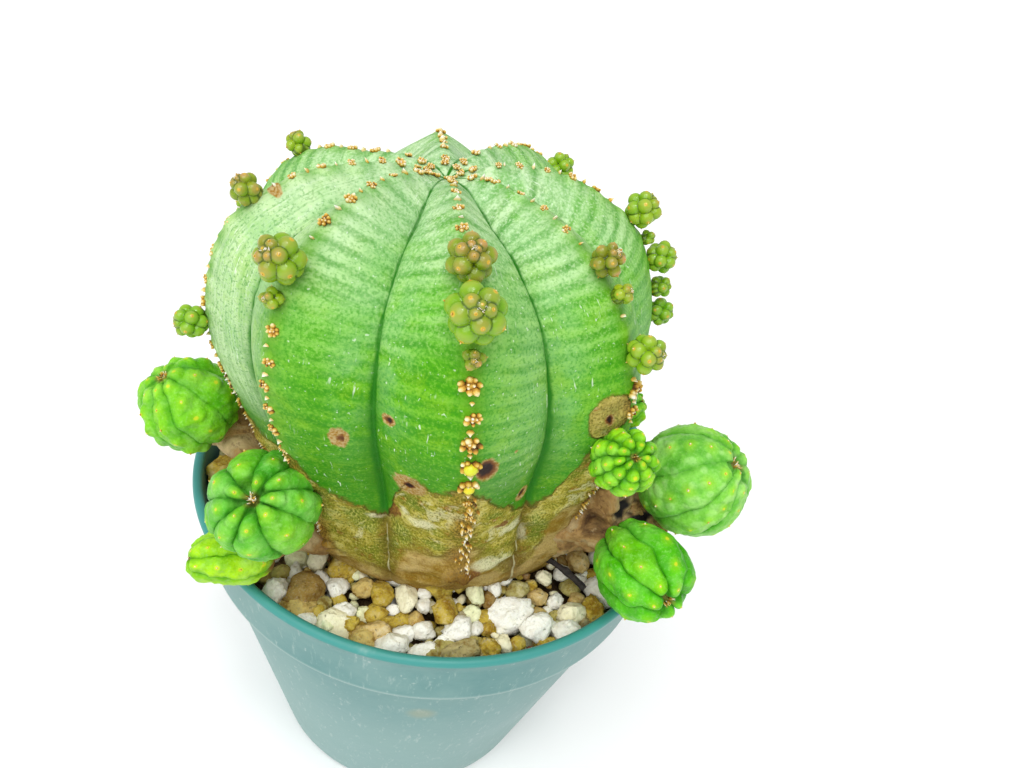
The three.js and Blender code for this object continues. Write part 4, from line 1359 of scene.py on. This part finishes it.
def makeOffset(name, o, index, shape, material):
    # the strayed ball turned to its tip, with rows closer together at the tip and the end
    share = np.linspace(0, 1, shape["gridRows"] + 2)[1:-1]
    polar = math.pi * (share - 0.30 * np.sin(2 * math.pi * share) / (2 * math.pi))
    polar, q = np.meshgrid(polar, gatheredColumns(o["ribs"], shape["columnsPerRib"]), indexing="ij")
    point, furrowMm, dotMm, between = ballSkin(q, polar, o, index, shape)
    turned = turnTo(o["tip"])
    grid = strayed(point, o, index, shape) @ turned.T + o["centre"]
    values = {"furrowMm": furrowMm, "dotMm": dotMm, "between": between, "tipward": polar,
              "number": np.round(q) % o["ribs"] * 0.618 % 1}
    for key in ("pale", "lime", "blue"):
        values[key] = np.full(q.shape, o[key])
    ends = [np.array([0, 0, z]) @ turned.T + o["centre"] for z in (o["half"] - o["hole"], -o["half"])]
    return addBody(name.replace("_", ""), grid, *ends, material, values)


def offsetPoints(shape, material):
    # a straw point on every tubercle and a tuft of dried scales in each tip
    draw = np.random.default_rng(shape["seed"])
    spikes = shape["tuft"]
    spots = []
    for index, o in enumerate(offsets.values()):
        turned = turnTo(o["tip"]).T
        q, row = np.meshgrid(np.arange(o["ribs"]), np.arange(8), indexing="ij")
        polar = o["first"] + shape["unevenHeads"] * np.sin(2.4 * q + index)
        polar = polar + o["spacing"] * (row + 0.5 * (q % 2))
        kept = (polar < 2.25) & (draw.uniform(0, 1, q.shape) < o["dots"])
        q, polar = q[kept].astype(float), polar[kept]
        point = strayed(ballSkin(q, polar, o, index, shape)[0], o, index, shape)
        outward = point / np.array([o["radius"], o["radius"], o["half"]]) ** 2
        grain = (0.09 + 0.011 * o["radius"]) * (0.5 + 0.5 * np.sin(polar)) * draw.uniform(0.6, 1.25, len(q))
        sizes = np.array([1, 1, 1.1]) * grain[:, None]
        tone = draw.uniform(0.42, 0.80, len(q))
        spots.append((point @ turned + o["centre"], outward @ turned, sizes, tone))
        around, out = draw.uniform(0, 2 * math.pi, spikes), draw.uniform(0, 0.11, spikes) * o["radius"]
        level = np.stack([np.cos(around), np.sin(around), 0 * around], -1)
        root = out[:, None] * level + [0, 0, o["half"] - o["hole"]]
        lean = 0.5 * level + [0, 0, 1]
        lean += draw.normal(0, 0.25, (spikes, 3))
        length = (0.45 + o["radius"] / 14) * draw.uniform(0.6, 1.3, (spikes, 1))
        tone = np.clip(draw.normal(o["tuft"], 0.22, spikes), 0, 1)
        spots.append((root @ turned + o["centre"], lean @ turned, np.array(shape["tuftSize"]) * length, tone))
    return addTips("offsetPoints", spots, material)


offsetColours = {
    "leaf": (0.098, 0.530, 0.003),
    "dark": (0.030, 0.290, 0.004),
    "pale": (0.24, 0.65, 0.110),
    "lime": (0.46, 0.80, 0.003),
    "blue": (0.085, 0.450, 0.045),
    "cloud": (0.44, 0.80, 0.25),
    "cleftShade": (0.022, 0.180, 0.012),
    "halo": (0.34, 0.70, 0.010),
    "gold": (0.80, 0.68, 0.03),
    "bark": (0.20, 0.11, 0.03),
}


def offsetFinish(tones):
    # green by each ball's own shares, clouded and spotted, with gold points, painted shade in and beside the
    # furrows and between the domes, and a woody end
    s = Shader("offsetSkin", tones)
    furrow, dot, between, tipward = (s.value(n) for n in ("furrowMm", "dotMm", "between", "tipward"))
    pale, lime, blue = (s.value(n) for n in ("pale", "lime", "blue"))
    cloudy = s.noise(190, detail=3, rough=0.5)
    blotch = s.noise(420, detail=3, rough=0.6)
    patches = s.cells(520, feature="SMOOTH_F1")
    grain = s.noise(2300, detail=3, rough=0.6)
    s.colour = s.mix(pale, "leaf", "pale")
    s.lay("blue", blue)
    s.lay("lime", lime, s.ease(cloudy, 0.3, 0.7, 0.7, 1.0))
    s.lay("dark", s.ease(cloudy, 0.52, 0.36), s.minus(0.55, s.times(lime, 0.4)))
    s.lay("cloud", s.ease(cloudy, 0.50, 0.66), s.plus(s.times(pale, 0.4), 0.15))
    s.lay("cloud", s.ease(patches, 0.40, 0.22), s.plus(s.times(pale, 0.60), 0.06))
    s.lay("dark", s.ease(blotch, 0.52, 0.36, 0.0, 0.28))
    s.lay("lime", s.ease(s.value("number"), 0.5, 1.0, 0.0, 0.15))
    s.lay("cloud", s.ease(grain, 0.50, 0.68, 0.0, 0.22))
    s.lay("dark", s.ease(grain, 0.46, 0.30, 0.0, 0.22))
    s.lay("halo", s.ease(dot, 1.6, 0.2, 0.0, 0.42))
    s.lay("gold", s.ease(dot, 0.38, 0.18, 0.0, 0.60))
    ragged = s.plus(furrow, s.sway(s.noise(380, detail=4, rough=0.6), 2.0, 0.42))
    # painted shade: darker green beside the ragged furrows, near black in them and between the domes
    s.lay("dark", s.ease(ragged, 1.5, 0.1), s.ease(blotch, 0.35, 0.62, 0.25, 0.60))
    s.lay("cleftShade", s.ease(ragged, 0.35, 0.0), s.ease(cloudy, 0.40, 0.60, 0.15, 0.60))
    s.lay("cleftShade", between, 0.55)
    s.lay("bark", s.ease(tipward, 0.22, 0.10, 0.0, 0.70))
    s.lay("bark", s.ease(s.plus(tipward, s.times(blotch, 0.5)), 2.75, 3.0))
    height = s.plus(s.times(grain, 0.20), s.minus(s.noise(620, detail=4, rough=0.55), patches))
    return s.finish(s.ease(blotch, 0.3, 0.7, 0.34, 0.46), s.bump(height, 0.36),
                    softness=0.05, softDepth=(1.0, 1.6, 0.4), shine=0.15)


# ---- woody stalks and knuckles
stalkShape = {
    "reach": 0.72,        # how deep in the offset a stalk ends, as a share of its half length
    "slim": 0.85,
    "flare": 1.5,
    "columns": 64,
    "rows": 70,
    "rise": 2.0,          # how much the middle arches up
    "lumps": (0.16, 0.07),      # coarse and fine, as shares of the radius
    "ridges": 0.05,
    "knuckleLumps": (0.20, 0.09),
    "knuckleGrid": (60, 40),
}
# a pit in the woody mass on the right, painted near black inside as its shade
barkHollow = {"centre": (34.0, -21.6, 83.8), "reach": 4.3, "depth": 2.8}
knuckles = {   # centre and half sizes
    "knuckleRightMiddle": {"centre": (29.0, -18.0, 82.5), "size": (4.6, 4.2, 4.0)},
    "knuckleRightOuter": {"centre": (35.6, -17.6, 79.8), "size": (4.4, 4.0, 3.8)},
    "knuckleRightLow": {"centre": (26.5, -20.5, 78.0), "size": (4.2, 3.8, 3.6)},
    "knuckleRightInner": {"centre": (33.5, -14.5, 82.0), "size": (4.0, 3.6, 3.2)},
    "knuckleLeft": {"centre": (-32.5, -16.5, 81.5), "size": (4.0, 3.6, 3.4)},
    "knuckleLeftLow": {"centre": (-29.0, -20.0, 76.5), "size": (4.0, 3.4, 3.4)},
}
barkColours = {
    "dark": (0.065, 0.030, 0.010),
    "brown": (0.21, 0.115, 0.036),
    "rust": (0.40, 0.24, 0.080),
    "pale": (0.60, 0.45, 0.23),
    "grey": (0.42, 0.31, 0.145),
    "hollow": (0.012, 0.010, 0.010),
}


def makeStalk(name, o, index, shape, material):
    # a tube along an arched line, thicker at its root, with ridges along it and knobs from soft noise
    start = np.array(o["stalk"], float)
    axis = np.array(o["tip"]) / np.linalg.norm(o["tip"])
    end = np.array(o["centre"]) - axis * shape["reach"] * o["half"]
    middle = (start + end) / 2 + [0, 0, shape["rise"]]
    t = np.linspace(0, 1, shape["rows"])
    line = spline([start, middle, end], t)
    ring, a = tubeRings(line, shape["columns"])
    width = o["stalkRadius"] * (shape["flare"] + (shape["slim"] - shape["flare"]) * smooth(0, 0.8, t))
    bare = line[:, None] + ring * width[:, None, None]
    coarse, fine = shape["lumps"]
    lumps = coarse * ripples(bare, 6.0, 60 + index) + fine * ripples(bare, 2.2, 70 + index)
    ridges = shape["ridges"] * np.abs(np.sin(4.5 * a + 2.5 * ripples(bare, 9.0, 80 + index)))
    grid = line[:, None] + ring * (width[:, None] * (1 + lumps + ridges))[..., None]
    hollow = hollowness(grid, barkHollow)
    grid = grid - ring * (barkHollow["depth"] * hollow)[..., None]
    return addBody(name, grid, line[0], line[-1], material, {"hollow": hollow})


def hollowness(points, pit):
    # 1 at the pit's middle, falling to nothing past its reach, with an uneven edge
    away = np.linalg.norm(points - np.array(pit["centre"]), axis=-1) * (1 + 0.2 * ripples(points, 3.0, 99))
    return np.exp(-(away / pit["reach"]) ** 4)


def makeKnuckle(name, k, index, shape, material):
    # an ellipsoid with soft lumps, sunk where the hollow is
    ball, quads, fans = unitBall(*shape["knuckleGrid"])
    coarse, fine = shape["knuckleLumps"]
    bare = ball * k["size"] + k["centre"]
    grow = 1 + coarse * ripples(bare, 6.5, 90 + index) + fine * ripples(bare, 2.6, 95 + index)
    points = ball * np.array(k["size"]) * grow[:, None] + k["centre"]
    hollow = hollowness(points, barkHollow)
    points -= ball * (barkHollow["depth"] * hollow)[:, None]
    return addMesh(name, points, [quads, fans], material, {"hollow": hollow})


def barkFinish(tones):
    # mottled wood with pale and dark fibres, painted black in the hollow as its shade
    s = Shader("stalkBark", tones)
    coarse = s.noise(150, detail=5, rough=0.65, twist=0.6)
    fibre = s.noise(700, detail=4, rough=0.7)
    stops = [(0.31, "dark"), (0.40, "brown"), (0.48, "rust"), (0.56, "grey"), (0.66, "pale")]
    s.colour = s.ramp(coarse, stops)
    s.lay("pale", s.ease(fibre, 0.55, 0.75, 0.0, 0.5))
    s.lay("dark", s.ease(fibre, 0.45, 0.30, 0.0, 0.6))
    # painted shade: near black inside the pit
    s.lay("hollow", s.ease(s.value("hollow"), 0.35, 0.7))
    height = s.plus(coarse, s.times(fibre, 0.5))
    return s.finish(0.72, s.bump(height, 0.8), softness=0.05, shine=0.3)


# ---- gravel
gravelPlan = {
    "fillHeight": 62.6,
    "wallRadius": 42.0,
    "stemClear": 24.2,
    "heap": 2.8,          # how much higher the stones lie against the stem
    "heapReach": 7.0,
    "stemCentre": (0.2, -3.7),
    "ringFrom": 23.0,     # loose stones start anywhere between this radius and the wall
    "stones": 190,
    "stoneRadius": (1.15, 2.8),
    "bigRadius": 2.2,     # above it a stone is drawn finer
    "stoneLift": 1.5,     # least height over the fill, random more, and more for the known ones
    "stoneSpread": 1.1,
    "keyLift": 0.7,
    "highest": 69.3,
    "settleSteps": 150,
    "planes": 11,
    "chips": 0.060,
    "keyTurn": 0.30,
    "soilGap": 0.3,
    "seed": 8,
}
stoneTones = {   # share of the stones and colour, from white pumice to dark lumps
    "white": (0.22, (0.96, 0.96, 0.90)),
    "cream": (0.13, (0.96, 0.92, 0.66)),
    "lime": (0.06, (0.93, 0.97, 0.64)),
    "sand": (0.13, (0.64, 0.46, 0.17)),
    "ochre": (0.21, (0.52, 0.375, 0.042)),
    "olive": (0.09, (0.40, 0.35, 0.11)),
    "grey": (0.04, (0.36, 0.30, 0.17)),
    "umber": (0.11, (0.27, 0.145, 0.035)),
    "rust": (0.03, (0.17, 0.06, 0.035)),
}
stoneLayers = {   # the finer fill: radii, how near they settle, height over the fill, and if only in the gaps
    "gravelUnder": {"count": 170, "radius": (1.4, 2.6), "near": 0.85, "height": (-0.9, 0.4), "inGaps": False},
    "gravelGrit": {"count": 380, "radius": (0.5, 1.15), "near": 0.8, "height": (1.0, 2.8), "inGaps": True},
}
toneNames = list(stoneTones)
keyStones = (   # x, y, half sizes, tone: the ones that stand out, from left to right along the front
    (-39.0, -9.3, 2.9, 2.7, "ochre"), (-23.1, -33.2, 2.0, 2.4, "white"), (-20.8, -28.9, 1.2, 2.3, "white"),
    (-23.3, -29.3, 1.6, 1.5, "olive"), (-18.6, -32.6, 2.8, 2.8, "umber"), (-13.5, -30.4, 1.8, 1.7, "white"),
    (-15.0, -34.0, 1.2, 1.6, "olive"), (-11.6, -35.1, 1.7, 1.6, "white"), (-8.3, -34.7, 1.5, 1.2, "lime"),
    (-9.0, -30.5, 1.8, 1.4, "sand"), (-6.1, -31.2, 1.8, 2.4, "ochre"), (-2.0, -31.2, 1.7, 2.6, "cream"),
    (0.8, -32.2, 1.2, 1.5, "white"), (-13.7, -37.5, 1.5, 2.0, "lime"), (-16.9, -37.4, 1.9, 1.4, "white"),
    (-10.4, -37.6, 1.7, 1.3, "ochre"), (-6.0, -38.0, 2.4, 1.6, "sand"), (-4.3, -35.3, 2.2, 1.1, "ochre"),
    (-3.3, -40.0, 2.5, 1.8, "white"), (-1.6, -37.4, 1.7, 1.4, "white"), (1.6, -36.2, 1.7, 1.6, "white"),
    (2.0, -40.0, 2.2, 1.5, "white"), (4.6, -32.6, 2.1, 2.7, "ochre"), (7.2, -35.6, 2.3, 2.0, "white"),
    (4.8, -37.8, 1.6, 1.0, "white"), (8.8, -32.1, 1.6, 1.4, "lime"), (8.9, -28.6, 1.3, 2.4, "lime"),
    (12.0, -27.4, 1.1, 1.5, "white"), (13.7, -25.2, 1.6, 1.1, "white"), (15.0, -31.1, 4.5, 2.6, "white"),
    (19.8, -33.2, 2.6, 2.1, "white"), (19.8, -26.4, 1.5, 1.4, "sand"), (23.1, -26.5, 1.4, 1.4, "white"),
    (25.9, -29.1, 2.1, 1.9, "cream"), (29.6, -27.6, 1.8, 2.4, "ochre"), (25.0, -32.6, 2.2, 1.9, "white"),
    (8.0, -39.0, 3.0, 1.5, "grey"), (12.3, -37.6, 1.6, 1.8, "ochre"), (14.6, -36.4, 1.3, 1.6, "cream"),
    (17.0, -36.4, 1.3, 1.2, "ochre"), (19.4, -37.1, 1.1, 0.9, "rust"), (21.8, -35.4, 1.7, 1.1, "ochre"),
    (19.9, -19.6, 1.5, 1.4, "sand"), (27.0, -17.6, 1.9, 2.0, "sand"), (12.2, -33.9, 1.3, 1.1, "ochre"),
    (13.6, -23.0, 1.7, 1.4, "cream"), (17.0, -21.8, 1.9, 1.6, "umber"), (16.2, -26.9, 1.8, 1.5, "olive"),
    (20.8, -23.2, 1.3, 1.2, "cream"), (24.0, -20.6, 1.5, 1.3, "white"), (18.6, -25.0, 1.1, 1.0, "ochre"),
)
stick = {"from": (19.2, -20.0, 69.5), "to": (27.6, -25.4, 68.6), "bend": (0.3, 0.4, 0.25), "radius": 0.58}
stoneStains = {
    "straw": (0.60, 0.50, 0.09),
    "stain": (0.44, 0.29, 0.07),
    "dust": (0.95, 0.90, 0.66),
    "chalk": (0.97, 0.94, 0.80),
    "grime": (0.66, 0.63, 0.40),
    "soot": (0.22, 0.13, 0.03),
    "pit": (0.16, 0.11, 0.05),
}
soilLook = {
    "name": "darkSoil", "grain": 420, "detail": 5, "relief": 0.9, "rough": 0.92, "shine": 0.2,
    "tones": {0.3: (0.018, 0.010, 0.006), 0.55: (0.085, 0.050, 0.022), 0.8: (0.26, 0.18, 0.08)},
}
stickLook = {
    "name": "deadStick", "grain": 900, "detail": 4, "relief": 0.3, "rough": 0.7, "shine": 0.3,
    "tones": {0.3: (0.010, 0.009, 0.010), 0.7: (0.060, 0.048, 0.042)},
}


def settle(places, radii, held, plan, near=0.96):
    # every step pushes overlapping pairs apart and keeps all between the stem and the wall; held ones stay
    free = np.where(held, 0.0, 1.0)[:, None]
    for _ in range(plan["settleSteps"]):
        apart = places[:, None] - places[None]
        distance = np.linalg.norm(apart, axis=-1) + np.eye(len(places))
        overlap = np.clip(near * (radii[:, None] + radii[None]) - distance, 0, None)
        np.fill_diagonal(overlap, 0)
        push = (apart / distance[..., None] * overlap[..., None]).sum(1) * 0.38
        places = places + push * free
        fromStem = places - plan["stemCentre"]
        reach = np.linalg.norm(fromStem, axis=1, keepdims=True)
        least = (plan["stemClear"] + 0.4 * radii)[:, None]
        places = np.where((reach < least) & (free > 0), plan["stemCentre"] + fromStem / reach * least, places)
        reach = np.linalg.norm(places, axis=1, keepdims=True)
        most = (plan["wallRadius"] - 0.92 * radii)[:, None]
        places = np.where((reach > most) & (free > 0), places / reach * most, places)
    return places


def ringPlaces(draw, count, plan):
    # evenly spread over the ring between the stem and the wall
    angle = draw.uniform(0, 2 * math.pi, count)
    reach = np.sqrt(draw.uniform(plan["ringFrom"] ** 2, (plan["wallRadius"] - 1) ** 2, count))
    return np.stack([reach * np.cos(angle), reach * np.sin(angle)], -1)


def stoneReach(ball, count, detailed, draw, plan):
    # the soft smallest of the distances to random planes: flat facets with rounded edges, lumps and chips
    planes = draw.normal(size=(count, plan["planes"], 3))
    planes /= np.linalg.norm(planes, axis=-1, keepdims=True)
    heights = draw.uniform(0.84 if detailed else 0.70, 0.98, (count, plan["planes"]))
    facing = np.einsum("md,npd->nmp", ball, planes) / heights[:, None]
    sharp = draw.uniform(16, 60, (count, 1))
    reach = (np.clip(facing, 0, None) ** sharp[..., None]).sum(-1) + 0.78 ** sharp
    apart = ball[None] + draw.normal(0, 9, (count, 1, 3))
    lumpy = 1 + 0.060 * ripples(apart, 0.80, 17) + 0.050 * ripples(apart, 0.34, 18)
    if detailed:
        lumpy = lumpy + plan["chips"] * ripples(apart, 0.26, 19)
    return np.minimum(reach ** (-1 / sharp), 1.22) * lumpy


def addStones(name, places, sizes, info, columns, rows, draw, plan, material):
    # stones in one mesh, each tilted and spun; info holds the tone, whether the spin is given, and the spin
    ball, quads, fans = unitBall(columns, rows)
    count, each = len(places), len(ball)
    reach = stoneReach(ball, count, columns > 20, draw, plan)
    local = ball[None] * reach[..., None] * sizes[:, None]
    tilt = turnTo(draw.normal(0, 0.22, (count, 3)) + [0, 0, 1])
    spin = np.where(info[:, 1] > 0, info[:, 2], draw.uniform(0, 2 * math.pi, count))
    spun = np.tile(np.eye(3), (count, 1, 1))
    spun[:, 0, 0] = spun[:, 1, 1] = np.cos(spin)
    spun[:, 1, 0] = np.sin(spin)
    spun[:, 0, 1] = -np.sin(spin)
    points = np.einsum("nij,nmj->nmi", tilt @ spun, local) + places[:, None]
    values = {"tone": np.repeat(info[:, 0], each), "shade": np.repeat(draw.uniform(0, 1, count), each)}
    return addMesh(name, points.reshape(-1, 3), repeatedFaces(quads, fans, count, each), material, values)


def stoneDraw(draw, count, low, high, power):
    # radii between low and high, more of them small, and tones in their shares
    shares = np.array([stoneTones[n][0] for n in toneNames])
    radii = low + (high - low) * draw.uniform(0, 1, count) ** power
    tone = (draw.choice(len(toneNames), count, p=shares / shares.sum()) + 0.5) / len(toneNames)
    return radii, tone


def stoneSizes(draw, radii, flatness=(0.70, 0.92)):
    # half sizes: a stretch along and its inverse across, a little flatter than wide
    stretch = draw.uniform(0.84, 1.2, (len(radii), 1)) ** [[1, -1]]
    return np.column_stack([radii[:, None] * stretch, radii * draw.uniform(*flatness, len(radii))])


def heaped(places, plan):
    # the gravel rises evenly towards the stem
    fromStem = np.linalg.norm(places - plan["stemCentre"], axis=1) - plan["stemClear"]
    return plan["heap"] * smooth(plan["heapReach"], 0.5, fromStem)


def makeGravel(plan, stone, soil):
    # known stones first, then loose ones, an under layer, and grit in the gaps, settled round those before
    draw = np.random.default_rng(plan["seed"])
    *keyNumbers, keyNames = zip(*keyStones)
    keyPlaces, keySizes = np.array(keyNumbers[:2]).T, np.array(keyNumbers[2:]).T
    keyTone = (np.array([toneNames.index(name) for name in keyNames]) + 0.5) / len(toneNames)
    radii, tone = stoneDraw(draw, plan["stones"], *plan["stoneRadius"], 2.0)
    radii = np.concatenate([keySizes.mean(1), radii])
    count = len(radii)
    held = np.arange(count) < len(keyStones)
    flat = settle(np.concatenate([keyPlaces, ringPlaces(draw, plan["stones"], plan)]), radii, held, plan)
    sizes = stoneSizes(draw, radii)
    sizes[held] = np.column_stack([keySizes, keySizes.min(1) * 0.92])
    turn = np.where(held, plan["keyTurn"], draw.uniform(0, 2 * math.pi, count))
    lift = plan["stoneLift"] + 0.35 * sizes[:, 2] + draw.uniform(0, plan["stoneSpread"], count)
    height = plan["fillHeight"] + lift + plan["keyLift"] * held
    height = np.minimum(height, plan["highest"] - sizes[:, 2]) + heaped(flat, plan)
    info = np.column_stack([np.concatenate([keyTone, tone]), np.ones(count), turn])
    places = np.column_stack([flat, height])
    big = (radii > plan["bigRadius"]) | held
    pieces = [addStones(name, places[own], sizes[own], info[own], *grid, draw, plan, stone)
              for name, own, grid in (("gravelLarge", big, (30, 19)), ("gravelSmall", ~big, (14, 8)))]
    for name, layer in stoneLayers.items():
        count = layer["count"]
        more, tone = stoneDraw(draw, count, *layer["radius"], 1.3)
        known = radii * 0.92 if layer["inGaps"] else radii[:0]
        start = np.concatenate([flat[:len(known)], ringPlaces(draw, count, plan)])
        both = np.concatenate([known, more])
        spread = settle(start, both, np.arange(len(both)) < len(known), plan, layer["near"])[len(known):]
        z = plan["fillHeight"] + draw.uniform(*layer["height"], count) + heaped(spread, plan)
        info = np.column_stack([tone, np.zeros(count), np.zeros(count)])
        places = np.column_stack([spread, z])
        pieces.append(addStones(name, places, stoneSizes(draw, more), info, 9, 5, draw, plan, stone))
    pieces.append(makeFill(plan, potSizes, soil))
    return pieces


def makeFill(plan, p, material):
    # the soil below the stones: a plug that follows the pot's inside, with a rough top
    gap = plan["soilGap"]
    step = p["height"] - p["bandHeight"]
    innerBase = p["baseRadius"] - p["wallThickness"] - gap
    innerTop = p["wallTopRadius"] - p["wallThickness"] - gap
    innerBand = p["bandFootRadius"] - p["wallThickness"] - gap
    low, top = p["floorThickness"] + gap, plan["fillHeight"]
    profile = [(r, low) for r in np.linspace(0.5, innerBase, 14)]
    profile += [(innerBase + (innerTop - innerBase) * t, low + (step - low) * t)
                for t in np.linspace(0, 1, 8)[1:]]
    profile += [(innerBand, step + p["wallThickness"] + gap), (innerBand, top)]
    profile += [(r, top) for r in np.linspace(innerBand - 0.5, 0.5, 60)]
    grid = turnedProfile(profile, 150)
    onTop = (grid[..., 2] > top - 0.01) & (np.hypot(grid[..., 0], grid[..., 1]) < innerBand - 0.4)
    grid[..., 2] += onTop * (0.5 * ripples(grid, 4.0, 51) + 0.3 * ripples(grid, 1.6, 52))
    return addBody("gravelBed", grid, (0, 0, low), (0, 0, top), material)


def makeStick(t, material):
    # a thin bent tube with a broken, knotty skin
    start, end = np.array(t["from"]), np.array(t["to"])
    line = spline([start, start * 0.5 + end * 0.5 + t["bend"], end], np.linspace(0, 1, 40))
    ring, _ = tubeRings(line, 20)
    bare = line[:, None] + ring * t["radius"]
    width = t["radius"] * (1 + 0.22 * ripples(bare, 2.4, 33) + 0.1 * ripples(bare, 0.9, 34))
    return addBody("gravelStick", line[:, None] + ring * width[..., None], line[0], line[-1], material)


def stoneFinish(tones):
    # one plain colour for each stone; bright ones keep it, darker ones are mottled and darker in their pits
    s = Shader("pumiceAndClay", tones)
    tone, shade = s.value("tone"), s.value("shade")
    s.colour = s.ramp(tone, [((i + 0.5) / len(toneNames), stoneTones[n][1]) for i, n in enumerate(toneNames)])
    earthy = s.ease(tone, 0.22, 0.42, 0.25, 1.0)
    coarse = s.noise(420, detail=5, rough=0.65)
    fine = s.noise(1600, detail=4, rough=0.7)
    pores = s.noise(1900, detail=2, rough=0.5)
    s.lay("straw", s.ease(shade, 0.2, 1.0, 0.0, 0.30), earthy)
    s.lay("stain", s.times(s.ease(coarse, 0.53, 0.36), s.times(earthy, 0.80)), kind="MULTIPLY")
    s.lay("dust", s.ease(coarse, 0.52, 0.66), s.ease(shade, 0.0, 0.8, 0.35, 0.0))
    s.lay("chalk", s.ease(fine, 0.52, 0.70), s.ease(earthy, 0.3, 1.0, 0.35, 0.14))
    s.lay("grime", s.ease(fine, 0.48, 0.36), s.ease(coarse, 0.40, 0.56, 0.0, 0.28))
    s.lay("soot", s.ease(fine, 0.46, 0.32, 0.0, 0.45), earthy)
    pit = s.times(s.ease(pores, 0.36, 0.26), s.ease(coarse, 0.38, 0.58))
    s.lay("pit", pit, s.plus(s.times(earthy, 0.45), 0.10))
    height = s.minus(s.plus(s.times(fine, 0.9), coarse), s.times(pit, 0.7))
    return s.finish(0.88, s.bump(height, 0.36), shine=0.2)


def crumblyFinish(look):
    # one noise is both the place on a ramp of colours and the relief
    s = Shader(look["name"])
    crumbs = s.noise(look["grain"], detail=look["detail"], rough=0.7)
    s.colour = s.ramp(crumbs, list(look["tones"].items()))
    return s.finish(look["rough"], s.bump(crumbs, look["relief"]), shine=look["shine"])


# ---- floor, light and colour handling
studio = {
    "floor": (0.95, 0.95, 0.948),
    "floorShade": (0.90, 0.905, 0.90),
    "floorHalf": 3000.0,
    "world": 0.60,
    "sun": 2.05,
    "sunFrom": (-0.26, -0.54, 0.80),
    "sunWidth": 60.0,      # degrees across, for soft shadows
    "glint": 0.55,
    "glintFrom": (0.10, -0.30, 0.95),
    "glintWidth": 12.0,
}


def addSun(name, energy, towards, width):
    data = bpy.data.lights.new(name, "SUN")
    data.energy = energy
    data.angle = math.radians(width)
    light = bpy.data.objects.new(name, data)
    turned = np.eye(4)
    turned[:3, :3] = turnTo(towards)
    light.matrix_world = turned.T.tolist()
    scene.collection.objects.link(light)


def makeStudio(t):
    # a pale floor, even white light from all round, one soft sun and one small one for glints
    s = Shader("paleFloor", t)
    s.colour = s.mix(s.ease(s.noise(6, detail=2), 0.3, 0.7, 0.0, 0.25), "floor", "floorShade")
    half = t["floorHalf"]
    corners = np.array([[-half, -half, 0], [half, -half, 0], [half, half, 0], [-half, half, 0]])
    floor = addMesh("studioFloor", corners, [np.array([[0, 1, 2, 3]])], s.finish(0.7, shine=0.2))
    world = bpy.data.worlds.new("softWhite")
    world.use_nodes = True
    background = world.node_tree.nodes["Background"]
    background.inputs["Color"].default_value = (1, 1, 1, 1)
    background.inputs["Strength"].default_value = t["world"]
    scene.world = world
    addSun("softSun", t["sun"], t["sunFrom"], t["sunWidth"])
    addSun("glintSun", t["glint"], t["glintFrom"], t["glintWidth"])
    scene.view_settings.view_transform = "Standard"


addCamera(cameraView)
makeStudio(studio)
print("studio: camera, floor and light")
fit(makePot(potSizes, potPlastic(potColours, potSizes)), "pot", "pot")
print("pot: wall, lip and drain holes")
fit(makeStem(stemShape, stemSkinFinish(stemColours)), "stem", "stem")
print("stem: ribs, furrows, cork and scars")

scales = scaleFinish(eyeColours)
shootRib, shootShare, shootRadius = np.array(shootPlaces)[:, :3].T
shootPlace, _, _, shootNormal = crestFrames(shootRib, shootShare, stemShape)
shootCentre = shootPlace + shootNormal * shootRadius[:, None] * (1 - shootShape["sunk"])
ballsOut = list(zip(shootCentre, shootRadius))
ballsOut += [(np.array(o["centre"]), o["radius"]) for o in offsets.values()]
budRib, budShare, budRadius = np.array(yellowBuds).T
budPlace, _, _, budNormal = crestFrames(budRib, budShare, stemShape, 0.45)
fit(makeEyes(eyeLook, stemShape, ballsOut, scales), "stem")
fit(makePoints(eyeLook, stemShape, ballsOut + [(place, 0.6) for place in budPlace], scales), "stem")
fit(addLumps("yellowBuds", budPlace, turnTo(budNormal), budRadius[:, None] * [[1.05, 0.95, 0.95]],
             budFinish(budColours), columns=28, rows=16), "stem")
print("crests: bud eyes and white points")
flesh = shootFinish(shootColours)
for index, (rib, _, radius, lime, rust) in enumerate(shootPlaces):
    number = 1 + sum(before[0] == rib for before in shootPlaces[:index])
    node = "shoot_rib%d_%d" % (rib + 1, number)
    shoot = makeShoot(node.replace("_", ""), shootCentre[index], shootNormal[index],
                      radius, lime, rust, index, shootShape, flesh)
    fit(shoot, "shoot", node)
fit(shootDots(zip(shootCentre, shootNormal, shootRadius), shootShape, scales), "shoot")
print("shoots: %d" % len(shootPlaces))
offsetSkin = offsetFinish(offsetColours)
bark = barkFinish(barkColours)
for index, (name, o) in enumerate(offsets.items()):
    fit(makeOffset(name, o, index, ballShape, offsetSkin), "offset", name)
    if "stalk" in o:
        stalkName = "stalk" + name.replace("offset_", "").title().replace("_", "")
        fit(makeStalk(stalkName, o, index, stalkShape, bark), "stem", "stem")
fit(offsetPoints(ballShape, scales), "offset")
for index, (name, k) in enumerate(knuckles.items()):
    fit(makeKnuckle(name, k, index, stalkShape, bark), "stem", "stem")
print("offsets: %d, with stalks and knuckles" % len(offsets))
for piece in makeGravel(gravelPlan, stoneFinish(stoneStains), crumblyFinish(soilLook)):
    fit(piece, "gravel", "gravel")
fit(makeStick(stick, crumblyFinish(stickLook)), "gravel")
print("gravel: bed, stones, grit and stick")
